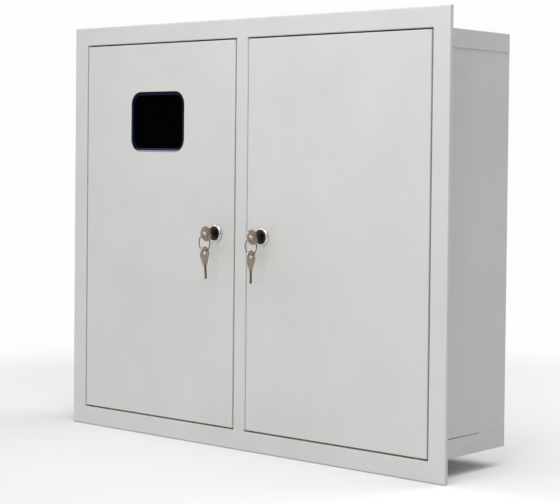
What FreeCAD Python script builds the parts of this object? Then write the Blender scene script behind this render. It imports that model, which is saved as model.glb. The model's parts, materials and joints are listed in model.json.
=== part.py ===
import FreeCAD, Part
import os
import re
import Sketcher

# Flush two-door meter and distribution box of folded sheet steel.
# Origin: centre of the four wall fixing holes, on the outer face of the back panel.
# X runs to the right seen from the front, Y into the wall, Z up. Millimetres.

SIZES = {
    # Front flange and box
    "flange_width": 624.0,
    "flange_height": 540.0,
    "box_depth": 155.0,
    "flange_overhang": 22.2,
    "flange_lip": 5.0,
    "frame_sheet": 1.0,
    "body_sheet": 1.0,
    "bend_radius": 1.6,
    "fold_radius": 0.8,
    "collar_depth": 14.0,
    "mullion_width": 18.6,
    "mullion_centre": -3.5,
    "tray_skirt": 22.0,
    "sheet_gap": 0.3,
    "hole_clearance": 0.1,
    "thread_clearance": 0.05,
    # Doors
    "door_gap": 1.8,
    "door_sheet": 1.2,
    "door_depth": 12.0,
    "pivot_inset": 6.0,
    "pivot_setback": 4.8,
    "pin_radius": 2.0,
    "pin_clearance": 0.05,
    "pin_head_radius": 3.2,
    "pin_head": 1.5,
    "bush_wall": 1.0,
    "bush_flange_radius": 3.8,
    "bush_flange": 1.5,
    # Window
    "window_from_side": 160.0,
    "window_from_top": 128.1,
    "window_width": 98.0,
    "window_height": 79.0,
    "window_corner": 12.0,
    "gasket_inner": 5.0,
    "gasket_outer": 8.0,
    "gasket_thick": 2.0,
    "pane_thick": 3.0,
    "retainer_sheet": 1.0,
    "retainer_border": 9.0,
    "retainer_flange": 8.0,
    "stud_radius": 1.5,
    "stud_clearance": 0.2,
    "nut_thick": 2.4,
    "nut_flats": 5.5,
    # Cam locks
    "left_lock_inset": 30.3,
    "right_lock_inset": 25.9,
    "left_lock_height": 0.1,
    "right_lock_height": -1.2,
    "bezel_radius": 11.3,
    "bezel_thick": 2.6,
    "bezel_round": 1.6,
    "bezel_bulge": 0.47,
    "barrel_radius": 9.0,
    "barrel_flat": 8.0,
    "barrel_length": 12.8,
    "barrel_clearance": 0.1,
    "face_radius": 8.0,
    "face_thick": 1.6,
    "face_proud": 1.4,
    "face_clearance": 0.3,
    "plug_radius": 6.0,
    "plug_clearance": 0.05,
    "lock_nut_flats": 24.0,
    "lock_nut_thick": 4.0,
    "cam_setback": 14.5,
    "cam_thick": 2.0,
    "cam_half_width": 7.5,
    "cam_hook": 5.2,
    "cam_square": 7.0,
    "cam_square_gap": 0.1,
    "cam_screw_radius": 2.0,
    "cam_screw_depth": 3.0,
    "cam_screw_gap": 0.1,
    "cam_screw_flats": 8.0,
    "cam_screw_head": 2.5,
    # Keys and ring
    "key_thick": 1.8,
    "key_bow_radius": 9.8,
    "key_bow_reach": 14.4,
    "key_bow_blend": 51.0,
    "key_neck_half": 3.9,
    "key_neck_length": 5.0,
    "key_blade_half": 2.5,
    "key_blade_length": 17.0,
    "key_notch": 1.2,
    "key_notch_pitch": 3.6,
    "key_slot_gap": 0.15,
    "key_hole_radius": 2.5,
    "key_hole_offset": 2.4,
    "ring_radius": 10.4,
    "ring_wire": 0.7,
    "ring_half_width": 0.6,
    "ring_hang": 1.0,
    # Divider and angles
    "cover_sheet": 1.0,
    "cable_gap": 25.0,
    "cover_screw_drop": 41.8,
    "cover_angle_drop": 21.8,
    "rail_angle_drop": 51.8,
    "rail_end_gap": 2.0,
    "rail_screw_radius": 2.0,
    "rail_screw_flats": 7.0,
    "rail_screw_head": 2.8,
    "screw_tail": 3.0,
    "cover_drop": 10.8,
    "panel_slot_pitch": 110.0,
    "panel_slot_rise": 90.0,
    "panel_screw_drop": 51.8,
    "panel_screw_radius": 2.5,
    "panel_screw_flats": 8.0,
    "panel_screw_head": 3.5,
    "bracket_inset": 30.0,
    "bracket_width": 30.0,
    "bracket_foot": 14.0,
    "bracket_drop": 31.8,
    "bar_drop": 32.8,
    "bar_count": 6,
    "bar_screw_radius": 2.0,
    "bar_screw_flats": 6.4,
    "bar_screw_head": 1.6,
    "earth_stud_length": 14.0,
    "earth_nut_flats": 10.0,
    "earth_nut_thick": 5.0,
    "box_stud_inset": 14.0,
    "box_stud_rise": 45.0,
    "door_stud_inset": 40.0,
    "divider_sheet": 1.0,
    "cover_setback": 57.0,
    "rail_setback": 102.0,
    "angle_flange": 18.0,
    "angle_sheet": 1.2,
    "angle_leg": 24.0,
    # Rails and cover
    "rail_height": 35.0,
    "rail_depth": 7.5,
    "rail_web": 27.0,
    "rail_sheet": 1.0,
    "row_drop": 78.8,
    "cover_margin": 4.0,
    "slot_margin": 38.0,
    "slot_height": 46.0,
    "cover_screw_inset": 10.8,
    "cover_screw_radius": 2.0,
    "cover_screw_flats": 7.0,
    "cover_screw_head": 2.2,
    # Meter panel
    "panel_side_gap": 20.8,
    "panel_mullion_gap": 24.5,
    "panel_drop": 21.8,
    "panel_setback": 92.0,
    "panel_sheet": 1.5,
    "panel_fold": 10.0,
    "panel_slot_width": 5.4,
    "panel_slot_round": 2.6,
    "panel_slot_length": 60.0,
    # Terminal bars
    "bar_length": 150.0,
    "bar_height": 9.0,
    "bar_depth": 6.5,
    "bar_standoff": 22.0,
    "holder_width": 12.0,
    "holder_height": 20.0,
    "bar_pitch": 24.0,
    # Wall fixing and cable entries
    "fixing_from_side": 49.8,
    "fixing_from_roof": 47.8,
    "fixing_hole_radius": 4.0,
    "knockout_radius": 11.5,
    "knockout_groove": 0.4,
    "knockout_line": 1.2,
    "knockout_count": 4,
    "knockout_pitch": 70.0,
    "earth_stud_radius": 3.0,
}

document = FreeCAD.newDocument("MeterBox")
sheet = document.addObject("Spreadsheet::Sheet", "Sizes")
for row, (alias, number) in enumerate(SIZES.items(), start=1):
    sheet.set(f"A{row}", alias)
    sheet.set(f"B{row}", str(number))
    sheet.setAlias(f"B{row}", alias)
document.recompute()

# Faces and planes that several pieces share, written as expressions of the sizes.
FRONT = "(-box_depth)"
SIDE = "(flange_width / 2 - flange_overhang)"
ROOF = "(flange_height / 2 - flange_overhang)"
SIDE_IN = f"({SIDE} - body_sheet)"
ROOF_IN = f"({ROOF} - body_sheet)"
OPENING_SIDE = f"({SIDE_IN} - frame_sheet)"
OPENING_TOP = f"({ROOF_IN} - frame_sheet)"
MULLION_LEFT = "(mullion_centre - mullion_width / 2)"
MULLION_RIGHT = "(mullion_centre + mullion_width / 2)"
DOOR_TOP = f"({OPENING_TOP} - door_gap)"
DOOR_BACK = f"({FRONT} + door_depth)"
DOOR_INSIDE = f"({FRONT} + door_sheet)"
PIVOT_X = f"({OPENING_SIDE} - door_gap - pivot_inset)"
PIVOT_Y = f"({FRONT} + pivot_setback)"
COVER_FRONT = f"({FRONT} + cover_setback)"
RAIL_FRONT = f"({FRONT} + rail_setback)"
RAIL_BACK = f"({RAIL_FRONT} + rail_depth)"
PANEL_FRONT = f"({FRONT} + panel_setback)"
BACK_IN = "(-body_sheet)"
COVER_TOP = f"({ROOF_IN} - cover_drop)"
COVER_SCREW_LEVEL = f"({ROOF_IN} - cover_screw_drop)"
COVER_ANGLE_TOP = f"({ROOF_IN} - cover_angle_drop)"
RAIL_ANGLE_TOP = f"({ROOF_IN} - rail_angle_drop)"
ROW_SPACING = f"(({ROOF_IN} - row_drop) / 1.5)"
PANEL_LEFT = f"(panel_side_gap - {SIDE_IN})"
PANEL_RIGHT = "(mullion_centre - panel_mullion_gap)"
PANEL_TOP = f"({ROOF_IN} - panel_drop)"
PANEL_SCREW_LEVEL = f"({ROOF_IN} - panel_screw_drop)"
BRACKET_TOP = f"({ROOF_IN} - bracket_drop)"
BAR_LEVEL = f"({ROOF_IN} - bar_drop)"


def bound(text):
    """The expression with every size read from the sheet."""
    return re.sub(r"[a-z_]+", lambda word: "Sizes." + word[0] if word[0] in SIZES else word[0], text)


def number(text):
    """What an expression of the sizes comes to, in millimetres."""
    return float(sheet.evalExpression(bound(text)))


def new_body(label):
    body = document.addObject("PartDesign::Body", label)
    body.Label = label
    return body


def new_sketch(body, plane, level):
    """A sketch on an origin plane of the body, moved to a level along that plane's axis."""
    sketch = body.newObject("Sketcher::SketchObject", "Sketch")
    role = plane + "_Plane"
    support = [item for item in body.Origin.OriginFeatures if item.Role == role][0]
    sketch.AttachmentSupport = [(support, "")]
    sketch.MapMode = "FlatFace"
    sign = "-" if plane == "XZ" else ""
    sketch.setExpression("AttachmentOffset.Base.z", bound(f"{sign}({level})"))
    return sketch


def pin_point(sketch, geometry, vertex, place):
    for kind, text in zip(("DistanceX", "DistanceY"), place):
        index = sketch.addConstraint(Sketcher.Constraint(kind, geometry, vertex, number(text)))
        sketch.setExpression(f"Constraints[{index}]", bound(text))


def outline(sketch, corners, arcs=None):
    """A closed outline through the corners; an edge in arcs bows through its middle point."""
    arcs = arcs or {}
    points = [FreeCAD.Vector(number(x), number(y), 0) for x, y in corners]
    edges = []
    for start, point in enumerate(points):
        following = points[(start + 1) % len(points)]
        if start in arcs:
            middle = FreeCAD.Vector(*[number(text) for text in arcs[start]], 0)
            edge = Part.Arc(point, middle, following)
            edges.append(sketch.addGeometry(edge, False))
        else:
            edges.append(sketch.addGeometry(Part.LineSegment(point, following), False))
    ends = []
    for start, edge in enumerate(edges):
        near = sketch.getPoint(edge, 1).distanceToPoint(points[start])
        far = sketch.getPoint(edge, 2).distanceToPoint(points[start])
        ends.append((1, 2) if near <= far else (2, 1))
    for start, edge in enumerate(edges):
        pin_point(sketch, edge, ends[start][0], corners[start])
        following = (start + 1) % len(edges)
        sketch.addConstraint(
            Sketcher.Constraint("Coincident", edge, ends[start][1], edges[following], ends[following][0])
        )
        if start in arcs:
            place = FreeCAD.Vector(*[number(text) for text in arcs[start]], 0)
            middle = sketch.addGeometry(Part.Point(place), True)
            pin_point(sketch, middle, 1, arcs[start])
            sketch.addConstraint(Sketcher.Constraint("PointOnObject", middle, 1, edge))


def rectangle(sketch, left, right, low, high):
    outline(sketch, [(left, low), (right, low), (right, high), (left, high)])


def rounded(sketch, left, right, low, high, radius):
    """A rectangle with round corners."""
    cut = f"({radius}) * (1 - sqrt(0.5))"
    corners = [
        (f"{left} + {radius}", low),
        (f"{right} - {radius}", low),
        (right, f"{low} + {radius}"),
        (right, f"{high} - {radius}"),
        (f"{right} - {radius}", high),
        (f"{left} + {radius}", high),
        (left, f"{high} - {radius}"),
        (left, f"{low} + {radius}"),
    ]
    arcs = {
        1: (f"{right} - {cut}", f"{low} + {cut}"),
        3: (f"{right} - {cut}", f"{high} - {cut}"),
        5: (f"{left} + {cut}", f"{high} - {cut}"),
        7: (f"{left} + {cut}", f"{low} + {cut}"),
    }
    outline(sketch, corners, arcs)


def circle(sketch, x, y, radius):
    centre = FreeCAD.Vector(number(x), number(y), 0)
    edge = sketch.addGeometry(Part.Circle(centre, FreeCAD.Vector(0, 0, 1), number(radius)), False)
    pin_point(sketch, edge, 3, (x, y))
    index = sketch.addConstraint(Sketcher.Constraint("Radius", edge, number(radius)))
    sketch.setExpression(f"Constraints[{index}]", bound(radius))


def slab(body, plane, low, high, draw):
    """Material between two levels, with the outline that draw puts in the sketch."""
    sketch = new_sketch(body, plane, high if plane == "XZ" else low)
    draw(sketch)
    pad = body.newObject("PartDesign::Pad", "Pad")
    pad.Profile = sketch
    pad.setExpression("Length", bound(f"({high}) - ({low})"))
    body.Tip = pad
    return pad


def cut(body, plane, low, high, draw):
    """The same, taken away."""
    sketch = new_sketch(body, plane, low if plane == "XZ" else high)
    draw(sketch)
    pocket = body.newObject("PartDesign::Pocket", "Pocket")
    pocket.Profile = sketch
    pocket.setExpression("Length", bound(f"({high}) - ({low})"))
    body.Tip = pocket
    return pocket


def revolve(body, sketch):
    """The sketch turned once round its upright axis."""
    turn = body.newObject("PartDesign::Revolution", "Revolution")
    turn.Profile = sketch
    turn.ReferenceAxis = (sketch, ["V_Axis"])
    turn.Angle = 360
    body.Tip = turn
    return turn


def repeat(body, feature, axis_role, length, count):
    """Copies of a feature along an axis of the body, evenly spaced over a length."""
    pattern = body.newObject("PartDesign::LinearPattern", "Pattern")
    pattern.Originals = [feature]
    axis = [item for item in body.Origin.OriginFeatures if item.Role == axis_role][0]
    pattern.Direction = (axis, [""])
    pattern.setExpression("Length", bound(length))
    pattern.Occurrences = count
    body.Tip = pattern
    return pattern


def round_edges(body, radius, chosen):
    """A fillet on each edge of the body for which chosen(edge) holds."""
    document.recompute()
    base = body.Tip
    names = [f"Edge{index}" for index, edge in enumerate(base.Shape.Edges, start=1) if chosen(edge)]
    fillet = body.newObject("PartDesign::Fillet", "Fillet")
    fillet.Base = (base, names)
    fillet.setExpression("Radius", bound(radius))
    body.Tip = fillet
    return fillet


NODES = {}


def node(label, item):
    """Keeps an object as one of the piece's files, under its own label."""
    item.Label = label
    NODES[label] = item
    return item


def group(label, members):
    together = document.addObject("Part::Compound", label + "_group")
    together.Links = members
    return node(label, together)


def place(item, x="0", y="0", z="0"):
    for axis, text in zip("xyz", (x, y, z)):
        item.setExpression(f"Placement.Base.{axis}", bound(text))
    return item


def copy_of(source, name, x="0", y="0", z="0"):
    """Another one of the same piece, moved."""
    return place(moved(source, name), x, y, z)


def moved(source, name):
    copy = document.addObject("Part::Compound", name)
    copy.Links = [source]
    return copy


def mirrored(source, name, normal):
    """The same piece on the other side of the origin."""
    mirror = document.addObject("Part::Mirroring", name)
    mirror.Source = source
    mirror.Base = (0, 0, 0)
    mirror.Normal = normal
    return mirror


def flat_at(edge, axis, level, slack=1e-4):
    """Whether a whole edge lies in one plane."""
    box = edge.BoundBox
    low, high = {"x": (box.XMin, box.XMax), "y": (box.YMin, box.YMax), "z": (box.ZMin, box.ZMax)}[axis]
    return abs(low - level) < slack and abs(high - level) < slack


def box_wrap():
    """Back panel and both sides, one folded sheet, with fixing holes in the back."""
    body = new_body("body_wrap")
    front = f"{FRONT} + frame_sheet"
    walls = [
        (f"-{SIDE}", front),
        (f"-{SIDE_IN}", front),
        (f"-{SIDE_IN}", BACK_IN),
        (SIDE_IN, BACK_IN),
        (SIDE_IN, front),
        (SIDE, front),
        (SIDE, "0"),
        (f"-{SIDE}", "0"),
    ]
    slab(body, "XY", f"-{ROOF_IN}", ROOF_IN, lambda sketch: outline(sketch, walls))

    def holes(sketch):
        for across in ("-", ""):
            for up in ("-", ""):
                circle(sketch, f"{across}({SIDE} - fixing_from_side)", f"{up}({ROOF} - fixing_from_roof)",
                       "fixing_hole_radius")

    cut(body, "XZ", BACK_IN, "0", holes)
    corner = number(SIDE)
    round_edges(body, "fold_radius", lambda edge: flat_at(edge, "y", 0) and (
        flat_at(edge, "x", corner) or flat_at(edge, "x", -corner)))
    return node("body_wrap", body)


def pivot_places():
    return [(f"-{PIVOT_X}", PIVOT_Y), (PIVOT_X, PIVOT_Y)]


def top_tray():
    """Top of the box: a plate with skirts down over the sides and inside the back."""
    body = new_body("top_tray")
    front = f"{FRONT} + frame_sheet"
    skirt = f"{ROOF} - tray_skirt"
    outer = f"({SIDE} + body_sheet)"
    slab(body, "XY", skirt, ROOF, lambda sketch: rectangle(sketch, f"-{outer}", outer, front, BACK_IN))
    cut(body, "XY", skirt, f"{ROOF} - body_sheet",
        lambda sketch: rectangle(sketch, f"-{SIDE}", SIDE, front, "-2 * body_sheet"))
    cut(body, "XY", skirt, f"{ROOF} - body_sheet",
        lambda sketch: rectangle(sketch, f"-{outer}", f"-{SIDE_IN}", "-2 * body_sheet", BACK_IN))
    cut(body, "XY", skirt, f"{ROOF} - body_sheet",
        lambda sketch: rectangle(sketch, SIDE_IN, outer, "-2 * body_sheet", BACK_IN))

    def pivots(sketch):
        for x, y in pivot_places():
            circle(sketch, x, y, "pin_radius + pin_clearance + bush_wall")

    cut(body, "XY", f"{ROOF} - body_sheet", ROOF, pivots)

    def groove(sketch):
        x = "(1 - knockout_count) / 2 * knockout_pitch"
        y = f"{FRONT} / 2 + knockout_radius"
        circle(sketch, x, y, "knockout_radius")
        circle(sketch, x, y, "knockout_radius - knockout_line")

    first = cut(body, "XY", f"{ROOF} - knockout_groove", ROOF, groove)
    repeat(body, first, "X_Axis", "(knockout_count - 1) * knockout_pitch", int(number("knockout_count")))
    edge_x = number(outer)
    top = number(ROOF)
    round_edges(body, "fold_radius", lambda edge: flat_at(edge, "z", top) and (
        flat_at(edge, "x", edge_x) or flat_at(edge, "x", -edge_x)))
    return node("top_tray", body)


def front_frame():
    """Flange with its lips, the collar inside the box walls and the folded centre mullion."""
    body = new_body("front_frame")
    half = "(flange_width / 2)"
    tall = "(flange_height / 2)"
    behind = f"({FRONT} + frame_sheet)"
    collar = f"({FRONT} + collar_depth)"
    slab(body, "XZ", FRONT, f"{FRONT} + flange_lip",
         lambda sketch: rectangle(sketch, f"-{half}", half, f"-{tall}", tall))
    inner_half = f"({half} - frame_sheet)"
    inner_tall = f"({tall} - frame_sheet)"
    cut(body, "XZ", behind, f"{FRONT} + flange_lip", lambda sketch: rectangle(
        sketch, f"-{inner_half}", inner_half, f"-{inner_tall}", inner_tall))
    slab(body, "XZ", FRONT, collar,
         lambda sketch: rectangle(sketch, f"-{SIDE_IN}", SIDE_IN, f"-{ROOF_IN}", ROOF_IN))

    def openings(sketch):
        rectangle(sketch, f"-{OPENING_SIDE}", MULLION_LEFT, f"-{OPENING_TOP}", OPENING_TOP)
        rectangle(sketch, MULLION_RIGHT, OPENING_SIDE, f"-{OPENING_TOP}", OPENING_TOP)

    cut(body, "XZ", FRONT, collar, openings)
    cut(body, "XZ", behind, collar, lambda sketch: rectangle(
        sketch, f"{MULLION_LEFT} + frame_sheet", f"{MULLION_RIGHT} - frame_sheet",
        f"-{OPENING_TOP}", OPENING_TOP))

    def pivots(sketch):
        for x, y in pivot_places():
            circle(sketch, x, y, "pin_radius + pin_clearance + bush_wall")

    cut(body, "XY", f"-{ROOF_IN}", ROOF_IN, pivots)
    front = number(FRONT)
    round_edges(body, "bend_radius", lambda edge: flat_at(edge, "y", front))
    return node("front_frame", body)


def hinge_bushes():
    """Flanged plastic bushes, one for each door corner, that carry the pivot pins."""
    body = new_body("hinge_bush")
    inner = "(pin_radius + pin_clearance)"
    slab(body, "XY", OPENING_TOP, ROOF, lambda sketch: [
        circle(sketch, "0", "0", f"{inner} + bush_wall"), circle(sketch, "0", "0", inner)])
    slab(body, "XY", f"{OPENING_TOP} - bush_flange", OPENING_TOP, lambda sketch: [
        circle(sketch, "0", "0", "bush_flange_radius"), circle(sketch, "0", "0", inner)])
    upper = [copy_of(body, f"upper_bush_{index}", x, y) for index, (x, y) in enumerate(pivot_places())]
    lower = [mirrored(bush, f"lower_{bush.Name}", (0, 0, 1)) for bush in upper]
    return group("hinge_bushes", upper + lower)


def door_sides(hand):
    """Hinge edge and free edge of a door, from left to right."""
    if hand == "left":
        return f"(door_gap - {OPENING_SIDE})", f"({MULLION_LEFT} - door_gap)"
    return f"({MULLION_RIGHT} + door_gap)", f"({OPENING_SIDE} - door_gap)"


def lock_place(hand):
    left, right = door_sides(hand)
    if hand == "left":
        return f"({right} - left_lock_inset)", "left_lock_height"
    return f"({left} + right_lock_inset)", "right_lock_height"


def lock_hole(sketch, x, z, radius, flat):
    """A round hole with a flat on each side."""
    rise = f"sqrt(({radius}) ^ 2 - ({flat}) ^ 2)"
    corners = [
        (f"{x} - ({flat})", f"{z} - {rise}"),
        (f"{x} + ({flat})", f"{z} - {rise}"),
        (f"{x} + ({flat})", f"{z} + {rise}"),
        (f"{x} - ({flat})", f"{z} + {rise}"),
    ]
    outline(sketch, corners, {0: (x, f"{z} - ({radius})"), 2: (x, f"{z} + ({radius})")})


def window_edges(grow):
    """Left, right, bottom and top of the window, made larger all round."""
    wide = f"(window_width / 2 + ({grow}))"
    tall = f"(window_height / 2 + ({grow}))"
    middle = "(window_from_side - flange_width / 2)"
    level = "(flange_height / 2 - window_from_top)"
    return f"{middle} - {wide}", f"{middle} + {wide}", f"{level} - {tall}", f"{level} + {tall}"


def door(hand):
    """A folded pan with its lock hole and pivot holes, and the window in the left one."""
    body = new_body(f"{hand}_door")
    left, right = door_sides(hand)
    slab(body, "XZ", FRONT, DOOR_BACK, lambda sketch: rectangle(sketch, left, right, f"-{DOOR_TOP}", DOOR_TOP))
    cut(body, "XZ", DOOR_INSIDE, DOOR_BACK, lambda sketch: rectangle(
        sketch, f"{left} + door_sheet", f"{right} - door_sheet",
        f"door_sheet - {DOOR_TOP}", f"{DOOR_TOP} - door_sheet"))
    side = "-" if hand == "left" else ""
    cut(body, "XY", f"-{DOOR_TOP}", DOOR_TOP,
        lambda sketch: circle(sketch, f"{side}{PIVOT_X}", PIVOT_Y, "pin_radius"))
    front = number(FRONT)
    round_edges(body, "bend_radius", lambda edge: flat_at(edge, "y", front))
    x, z = lock_place(hand)
    cut(body, "XZ", FRONT, DOOR_INSIDE, lambda sketch: lock_hole(
        sketch, x, z, "barrel_radius + barrel_clearance", "barrel_flat + barrel_clearance"))
    if hand == "left":
        cut(body, "XZ", FRONT, DOOR_INSIDE,
            lambda sketch: rounded(sketch, *window_edges("0"), "window_corner"))
    return node(f"{hand}_door", body)


def hinge_pins(hand):
    """The two pivot pins of a door, headed inside the pan and turning in the bushes."""
    body = new_body(f"{hand}_hinge_pin")
    under = f"({DOOR_TOP} - door_sheet)"
    slab(body, "XY", under, ROOF, lambda sketch: circle(sketch, "0", "0", "pin_radius"))
    slab(body, "XY", f"{under} - pin_head", under, lambda sketch: circle(sketch, "0", "0", "pin_head_radius"))
    side = "-" if hand == "left" else ""
    upper = copy_of(body, f"{hand}_upper_pin", f"{side}{PIVOT_X}", PIVOT_Y)
    return group(f"{hand}_hinge_pins", [upper, mirrored(upper, f"{hand}_lower_pin", (0, 0, 1))])


GASKET_BACK = f"({DOOR_INSIDE} + gasket_thick)"
PANE_BACK = f"({GASKET_BACK} + pane_thick)"
RETAINER_BACK = f"({PANE_BACK} + retainer_sheet)"
STUD_GROW = "(gasket_outer + retainer_flange / 2)"


def window_ring(label, outer, inner, low, high):
    """A flat frame round the window between two levels."""
    body = new_body(label)
    slab(body, "XZ", low, high, lambda sketch: [
        rounded(sketch, *window_edges(outer), f"(window_corner + {outer})"),
        rounded(sketch, *window_edges(inner), f"(window_corner + ({inner}))")])
    return body


def window_parts():
    """Gasket, pane and retainer behind the window, on four welded studs with nuts."""
    gasket = window_ring("window_gasket", "gasket_outer", "(0 - gasket_inner)", DOOR_INSIDE, GASKET_BACK)
    node("window_gasket", gasket)
    pane = new_body("window_pane")
    slab(pane, "XZ", GASKET_BACK, PANE_BACK, lambda sketch: rounded(
        sketch, *window_edges("gasket_outer"), "(window_corner + gasket_outer)"))
    node("window_pane", pane)
    retainer = window_ring(
        "window_retainer", "(gasket_outer + retainer_flange)", "(gasket_outer - retainer_border)",
        PANE_BACK, RETAINER_BACK)

    def stud_places():
        left, right, low, high = window_edges(STUD_GROW)
        shift = "(window_corner / 2)"
        return [(f"{left} + {shift}", f"{low} + {shift}"), (f"{right} - {shift}", f"{low} + {shift}"),
                (f"{left} + {shift}", f"{high} - {shift}"), (f"{right} - {shift}", f"{high} - {shift}")]

    cut(retainer, "XZ", PANE_BACK, RETAINER_BACK, lambda sketch: [
        circle(sketch, x, z, "stud_radius + stud_clearance") for x, z in stud_places()])
    node("window_retainer", retainer)
    studs = []
    nuts = []
    length = f"({RETAINER_BACK} + nut_thick + 1.5 * stud_radius - {DOOR_INSIDE})"
    for index, (x, z) in enumerate(stud_places()):
        stud = document.addObject("Part::Cylinder", f"window_stud_{index}")
        stud.Placement.Rotation = FreeCAD.Rotation(FreeCAD.Vector(1, 0, 0), -90)
        stud.setExpression("Radius", bound("stud_radius"))
        stud.setExpression("Height", bound(length))
        studs.append(place(stud, x, DOOR_INSIDE, z))
        nuts.append(hexagon_nut(f"window_nut_{index}", "nut_flats", "nut_thick",
                                "stud_radius + thread_clearance", x, RETAINER_BACK, z))
    group("window_studs", studs)
    group("window_nuts", nuts)


def hexagon_nut(name, flats, thick, bore, x, y, z):
    """A nut on an axis along Y, from y backwards."""
    prism = document.addObject("Part::Prism", name + "_prism")
    prism.Polygon = 6
    prism.setExpression("Circumradius", bound(f"({flats}) / sqrt(3)"))
    prism.setExpression("Height", bound(thick))
    hole = document.addObject("Part::Cylinder", name + "_hole")
    hole.setExpression("Radius", bound(bore))
    hole.setExpression("Height", bound(thick))
    nut = document.addObject("Part::Cut", name)
    nut.Base = prism
    nut.Tool = hole
    nut.Placement.Rotation = FreeCAD.Rotation(FreeCAD.Vector(1, 0, 0), -90)
    return place(nut, x, y, z)


def screw(name, radius, length, flats, head_thick, x, y, z):
    """A hexagon screw along Y, its head's seat at y and its shank running back from there."""
    head = document.addObject("Part::Prism", name + "_head")
    head.Polygon = 6
    head.setExpression("Circumradius", bound(f"({flats}) / sqrt(3)"))
    head.setExpression("Height", bound(head_thick))
    head.setExpression("Placement.Base.z", bound(f"0 - ({head_thick})"))
    shank = document.addObject("Part::Cylinder", name + "_shank")
    shank.setExpression("Radius", bound(radius))
    shank.setExpression("Height", bound(length))
    whole = document.addObject("Part::Fuse", name)
    whole.Base = head
    whole.Tool = shank
    whole.Placement.Rotation = FreeCAD.Rotation(FreeCAD.Vector(1, 0, 0), -90)
    return place(whole, x, y, z)


FACE_FRONT = "(0 - bezel_thick - face_proud)"
FACE_BACK = f"({FACE_FRONT} + face_thick)"
BORE = "(plug_radius + plug_clearance)"
SHOULDER = f"({FACE_FRONT} - key_slot_gap)"


def lock_housing(hand):
    """Domed bezel and flatted barrel in one turned casting, with the bore for the plug."""
    body = new_body(f"{hand}_lock_housing")
    sketch = new_sketch(body, "XY", "0")
    recess = "(face_radius + face_clearance)"
    floor = f"({FACE_BACK} + face_clearance)"
    profile = [
        (recess, "0 - bezel_thick"),
        ("bezel_radius - bezel_round", "0 - bezel_thick"),
        ("bezel_radius - bezel_bulge", "bezel_bulge - bezel_thick"),
        ("bezel_radius", "bezel_round - bezel_thick"),
        ("bezel_radius", "0"),
        ("barrel_radius", "0"),
        ("barrel_radius", "barrel_length"),
        (BORE, "barrel_length"),
        (BORE, floor),
        (recess, floor),
    ]
    outline(sketch, profile)
    revolve(body, sketch)
    for near, far in (("0 - barrel_radius", "0 - barrel_flat"), ("barrel_flat", "barrel_radius")):
        cut(body, "XZ", "0", "barrel_length", lambda sketch, near=near, far=far: rectangle(
            sketch, near, far, "0 - barrel_radius", "barrel_radius"))
    x, z = lock_place(hand)
    return node(f"{hand}_lock_housing", place(body, x, FRONT, z))


def lock_nut(hand):
    x, z = lock_place(hand)
    nut = hexagon_nut(f"{hand}_lock_nut_part", "lock_nut_flats", "lock_nut_thick",
                      "barrel_radius + thread_clearance",
                      x, DOOR_INSIDE, z)
    return node(f"{hand}_lock_nut", nut)


def lock_plug(hand):
    """The turning core: a face disc, a shaft and a square end for the cam."""
    body = new_body(f"{hand}_lock_plug")
    slab(body, "XZ", FACE_FRONT, FACE_BACK, lambda sketch: circle(sketch, "0", "0", "face_radius"))
    slab(body, "XZ", FACE_BACK, "cam_setback", lambda sketch: circle(sketch, "0", "0", "plug_radius"))
    square = "(cam_square / 2)"
    slab(body, "XZ", "cam_setback", "cam_setback + cam_thick", lambda sketch: rectangle(
        sketch, f"-{square}", square, f"-{square}", square))
    end = f"({SHOULDER} + key_blade_length + key_slot_gap)"
    half = "(key_thick / 2 + key_slot_gap)"
    tall = "(key_blade_half + key_slot_gap)"
    cut(body, "XZ", FACE_FRONT, end, lambda sketch: rectangle(sketch, f"-{half}", half, f"-{tall}", tall))
    tail = "(cam_setback + cam_thick)"
    cut(body, "XZ", f"{tail} - cam_screw_depth - cam_screw_gap", tail,
        lambda sketch: circle(sketch, "0", "0", "cam_screw_radius + thread_clearance"))
    x, z = lock_place(hand)
    return node(f"{hand}_lock_plug", place(body, x, FRONT, z))


def lock_cam(hand):
    """The tongue that turns behind the mullion; at rest it points up, clear of it."""
    body = new_body(f"{hand}_lock_cam")
    left, right = door_sides(hand)
    edge = f"({hand}_lock_inset + door_gap + cam_hook)"
    low = "(0 - cam_half_width)"
    corners = [
        ("0 - cam_half_width", "0"),
        ("cam_half_width", "0"),
        ("cam_half_width", f"{edge} - cam_half_width"),
        ("0 - cam_half_width", f"{edge} - cam_half_width"),
    ]
    arcs = {0: ("0", low), 2: ("0", edge)}
    square = "(cam_square / 2 + cam_square_gap)"
    slab(body, "XZ", "cam_setback", "cam_setback + cam_thick", lambda sketch: [
        outline(sketch, corners, arcs), rectangle(sketch, f"-{square}", square, f"-{square}", square)])
    x, z = lock_place(hand)
    return node(f"{hand}_lock_cam", place(body, x, FRONT, z))


def cam_screw(hand):
    x, z = lock_place(hand)
    name = f"{hand}_cam_screw"
    item = screw(name + "_part", "cam_screw_radius", "cam_screw_depth", "cam_screw_flats",
                 "cam_screw_head", x, f"{FRONT} + cam_setback + cam_thick", z)
    item.Placement.Rotation = FreeCAD.Rotation(FreeCAD.Vector(1, 0, 0), 90)
    return node(name, item)


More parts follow.
